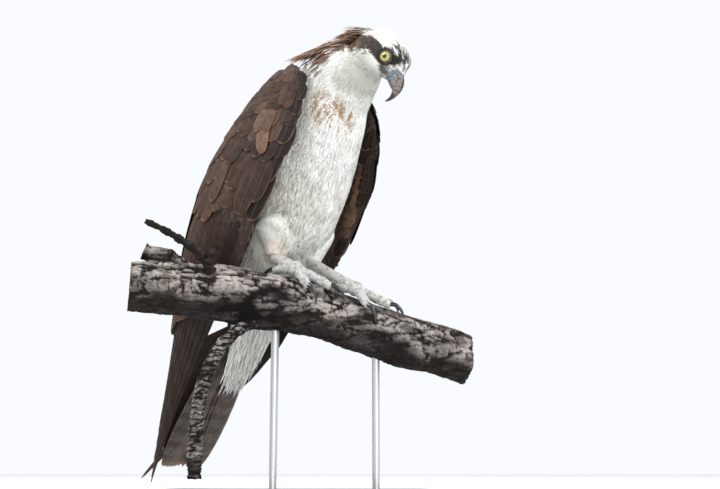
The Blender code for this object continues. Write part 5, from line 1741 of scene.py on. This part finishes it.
def bark_depth(points, long_way):
    """How far the bark stands out: long cracks, cross cracks, plates and fine grain."""
    along = points @ long_way
    stretched = np.stack([along * 0.22, points[:, 1], points[:, 2]], -1)
    crossed = np.stack([along * 1.6, points[:, 1] * 0.5, points[:, 2] * 0.5], -1)
    cracks = 1 - np.abs(rough(stretched, 85, 3)) * 4.5
    across = 1 - np.abs(rough(crossed, 60, 5)) * 6.0
    fine = 1 - np.abs(rough(stretched, 230, 6)) * 4.0
    plates = rough(points, 40, 8)
    cuts = np.clip(cracks, 0, 1) ** 1.5 * 0.0022 + np.clip(across, 0, 1) ** 2 * 0.0012
    return plates * 0.0013 - cuts - np.clip(fine, 0, 1) ** 2 * 0.0006


bark_finish = Finish("bark", Roughness=0.9, **{"Specular IOR Level": 0.15})
grain = bark_finish.noise(420, 5, bark_finish.place((0.35, 1, 1)))
bark_finish.colour(bark_finish.tint(bark_finish.painted("tint"), (0.55, 0.5, 0.47), grain.step(0.35, 0.7), "MULTIPLY"))
bark_finish.bump(grain + bark_finish.noise(1500, 3) * 0.5, 0.0006, 0.6)
BARK_PALE = np.array((0.310, 0.282, 0.262))
BARK_DARK = np.array((0.020, 0.015, 0.013))
LONG_WAY = unit(branch_axis(0.1)[0] - branch_axis(-0.1)[0])


# Where the hanging twig joins the branch's underside; the bark round it gets a painted shade
KNOT = np.array((-0.050, branch_axis(-0.050)[0][1] - 0.012, GRIP[2] - 0.060))


def dress_bark(piece, pale, share, *nodes, rings=0.0, sawn_ends_and_knot_shade=1.0):
    """Cuts the bark into a piece by a share of its full depth, and paints it by that depth and its facing: painted
    light on top, painted shade below, in the cracks and round the knot, and wood on the sawn ends.
    """
    points, normals = vertices_of(piece), vertex_normals(piece)
    depth = bark_depth(points, LONG_WAY)
    turn = points[:, 2] * math.pi / RING_GAP + rough(points, 60, 12) * 2.4
    depth = depth - np.clip(1 - np.abs(np.sin(turn)) * 2.0, 0, 1) * rings
    sawn = ease(np.abs(normals @ LONG_WAY), 0.80, 0.92) * sawn_ends_and_knot_shade
    depth = depth * (1 - sawn)
    move_vertices(piece, points + normals * (depth * share)[:, None])
    colours = over(np.tile(pale, (len(points), 1)), pale * 0.55, ease(rough(points, 30, 4), -0.1, 0.4) * 0.7)
    colours = over(colours, pale * 1.35, ease(rough(points, 120, 7), 0.15, 0.45) * 0.6)
    # Painted light and shade: the bark is lighter on top and darker towards the underside
    colours = colours * mix(1.30, 0.45, ease(-normals[:, 2], -0.6, 0.5))[:, None]
    along = points @ LONG_WAY
    flakes = rough(np.stack([along * 0.4, points[:, 1], points[:, 2]], -1), 55, 11)
    colours = over(colours, BARK_DARK * 1.6, ease(flakes, 0.10, 0.22) * 0.65)
    # Painted shade in the cracks and ring grooves, by how deep they are cut
    colours = over(colours, BARK_DARK * 0.7, ease(-depth, 0.0001, 0.0012))
    # More painted shade on the underside, broken by the flakes
    under = ease(-normals[:, 2] + flakes * 0.5, 0.15, 0.75)
    colours = over(colours, BARK_DARK * 0.8, under * 0.85)
    # A dark patch round the knot: painted shade where the hanging twig meets the branch
    from_knot = np.linalg.norm(points - KNOT, axis=1)
    colours = over(colours, BARK_DARK * 0.35, ease(0.027 + flakes * 0.03 - from_knot, 0.0, 0.008) * sawn_ends_and_knot_shade)
    off_axis = points - branch_axis(points[:, 0])[0]
    off_axis = np.linalg.norm(off_axis - (off_axis @ LONG_WAY)[:, None] * LONG_WAY, axis=1)
    year = np.abs(np.sin(off_axis * math.pi / YEAR_RING + rough(points, 40, 13) * 1.5))
    wood = over(np.tile(WOOD, (len(points), 1)), WOOD * 0.6, ease(year, 0.75, 1.0))
    colours = mix(colours, wood, sawn[:, None])
    paint(piece, "tint", colours)
    return dress(piece, bark_finish, "bark", *nodes)


dress_bark(finish_mesh("bark_branch", blob(BARK_SIDES, BARK_RINGS, branch_surface)), BARK_PALE, 1.0, "perch_branch")


def twig(rows, knots, sides, rings, lumps=1.0):
    line = smooth_rows([(k / (len(rows) - 1), *row) for k, row in enumerate(rows)])

    def path(q):
        x, near, height, _ = line(q)
        centre = branch_axis(x)[0]
        return np.stack([x, centre[..., 1] - near, GRIP[2] + height], -1)

    def radius(q):
        swell = 0.14 * np.sin(q * knots) + 0.06 * np.sin(q * knots * 2.7)
        return line(q)[3] * (1 + swell * lumps)

    return rod(path, radius, sides, rings, 0.05)


up = gather("bark_twig_up", [twig(TWIG_UP, 35, 24, 90), twig(TWIG_FORK, 15, 24, 40)])
dress_bark(up, BARK_PALE * 0.09, 0.35, "perch_twig_up", sawn_ends_and_knot_shade=0.0)
hanging = finish_mesh("bark_twig_down", twig(TWIG_DOWN, 57, 36, 300, 0.35))
dress_bark(hanging, BARK_PALE * 0.85, 0.45, "perch_twig_down", rings=0.0040, sawn_ends_and_knot_shade=0.0)
dress_bark(finish_mesh("bark_stub", twig(STUB, 12, 48, 60)), BARK_PALE * 0.75, 0.8, "perch_stub", sawn_ends_and_knot_shade=0.0)

# %% [markdown]
# ## The stand
# The base and rods are plain, and their solids are already right, so only their finish is made: a
# satin black paint on wood, and brushed steel.

# %% Stand
paint_finish = Finish("stand_paint", **{"Base Color": (0.03, 0.03, 0.032, 1)})
paint_finish.roughness(paint_finish.noise(60, 4) * 0.25 + 0.30)
paint_finish.bump(paint_finish.noise(250, 3, paint_finish.place((0.1, 1, 1))), 0.0003, 0.25)
steel_finish = Finish("stand_steel", **{"Base Color": (0.56, 0.56, 0.57, 1), "Metallic": 1.0})
steel_finish.roughness(steel_finish.noise(900, 3, steel_finish.place((1, 1, 0.02))) * 0.3 + 0.2)
for node, finish in (("stand_base", paint_finish), ("stand_rod_1", steel_finish), ("stand_rod_2", steel_finish)):
    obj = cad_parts[node]
    obj.data.materials.clear()
    obj.data.materials.append(finish.material)
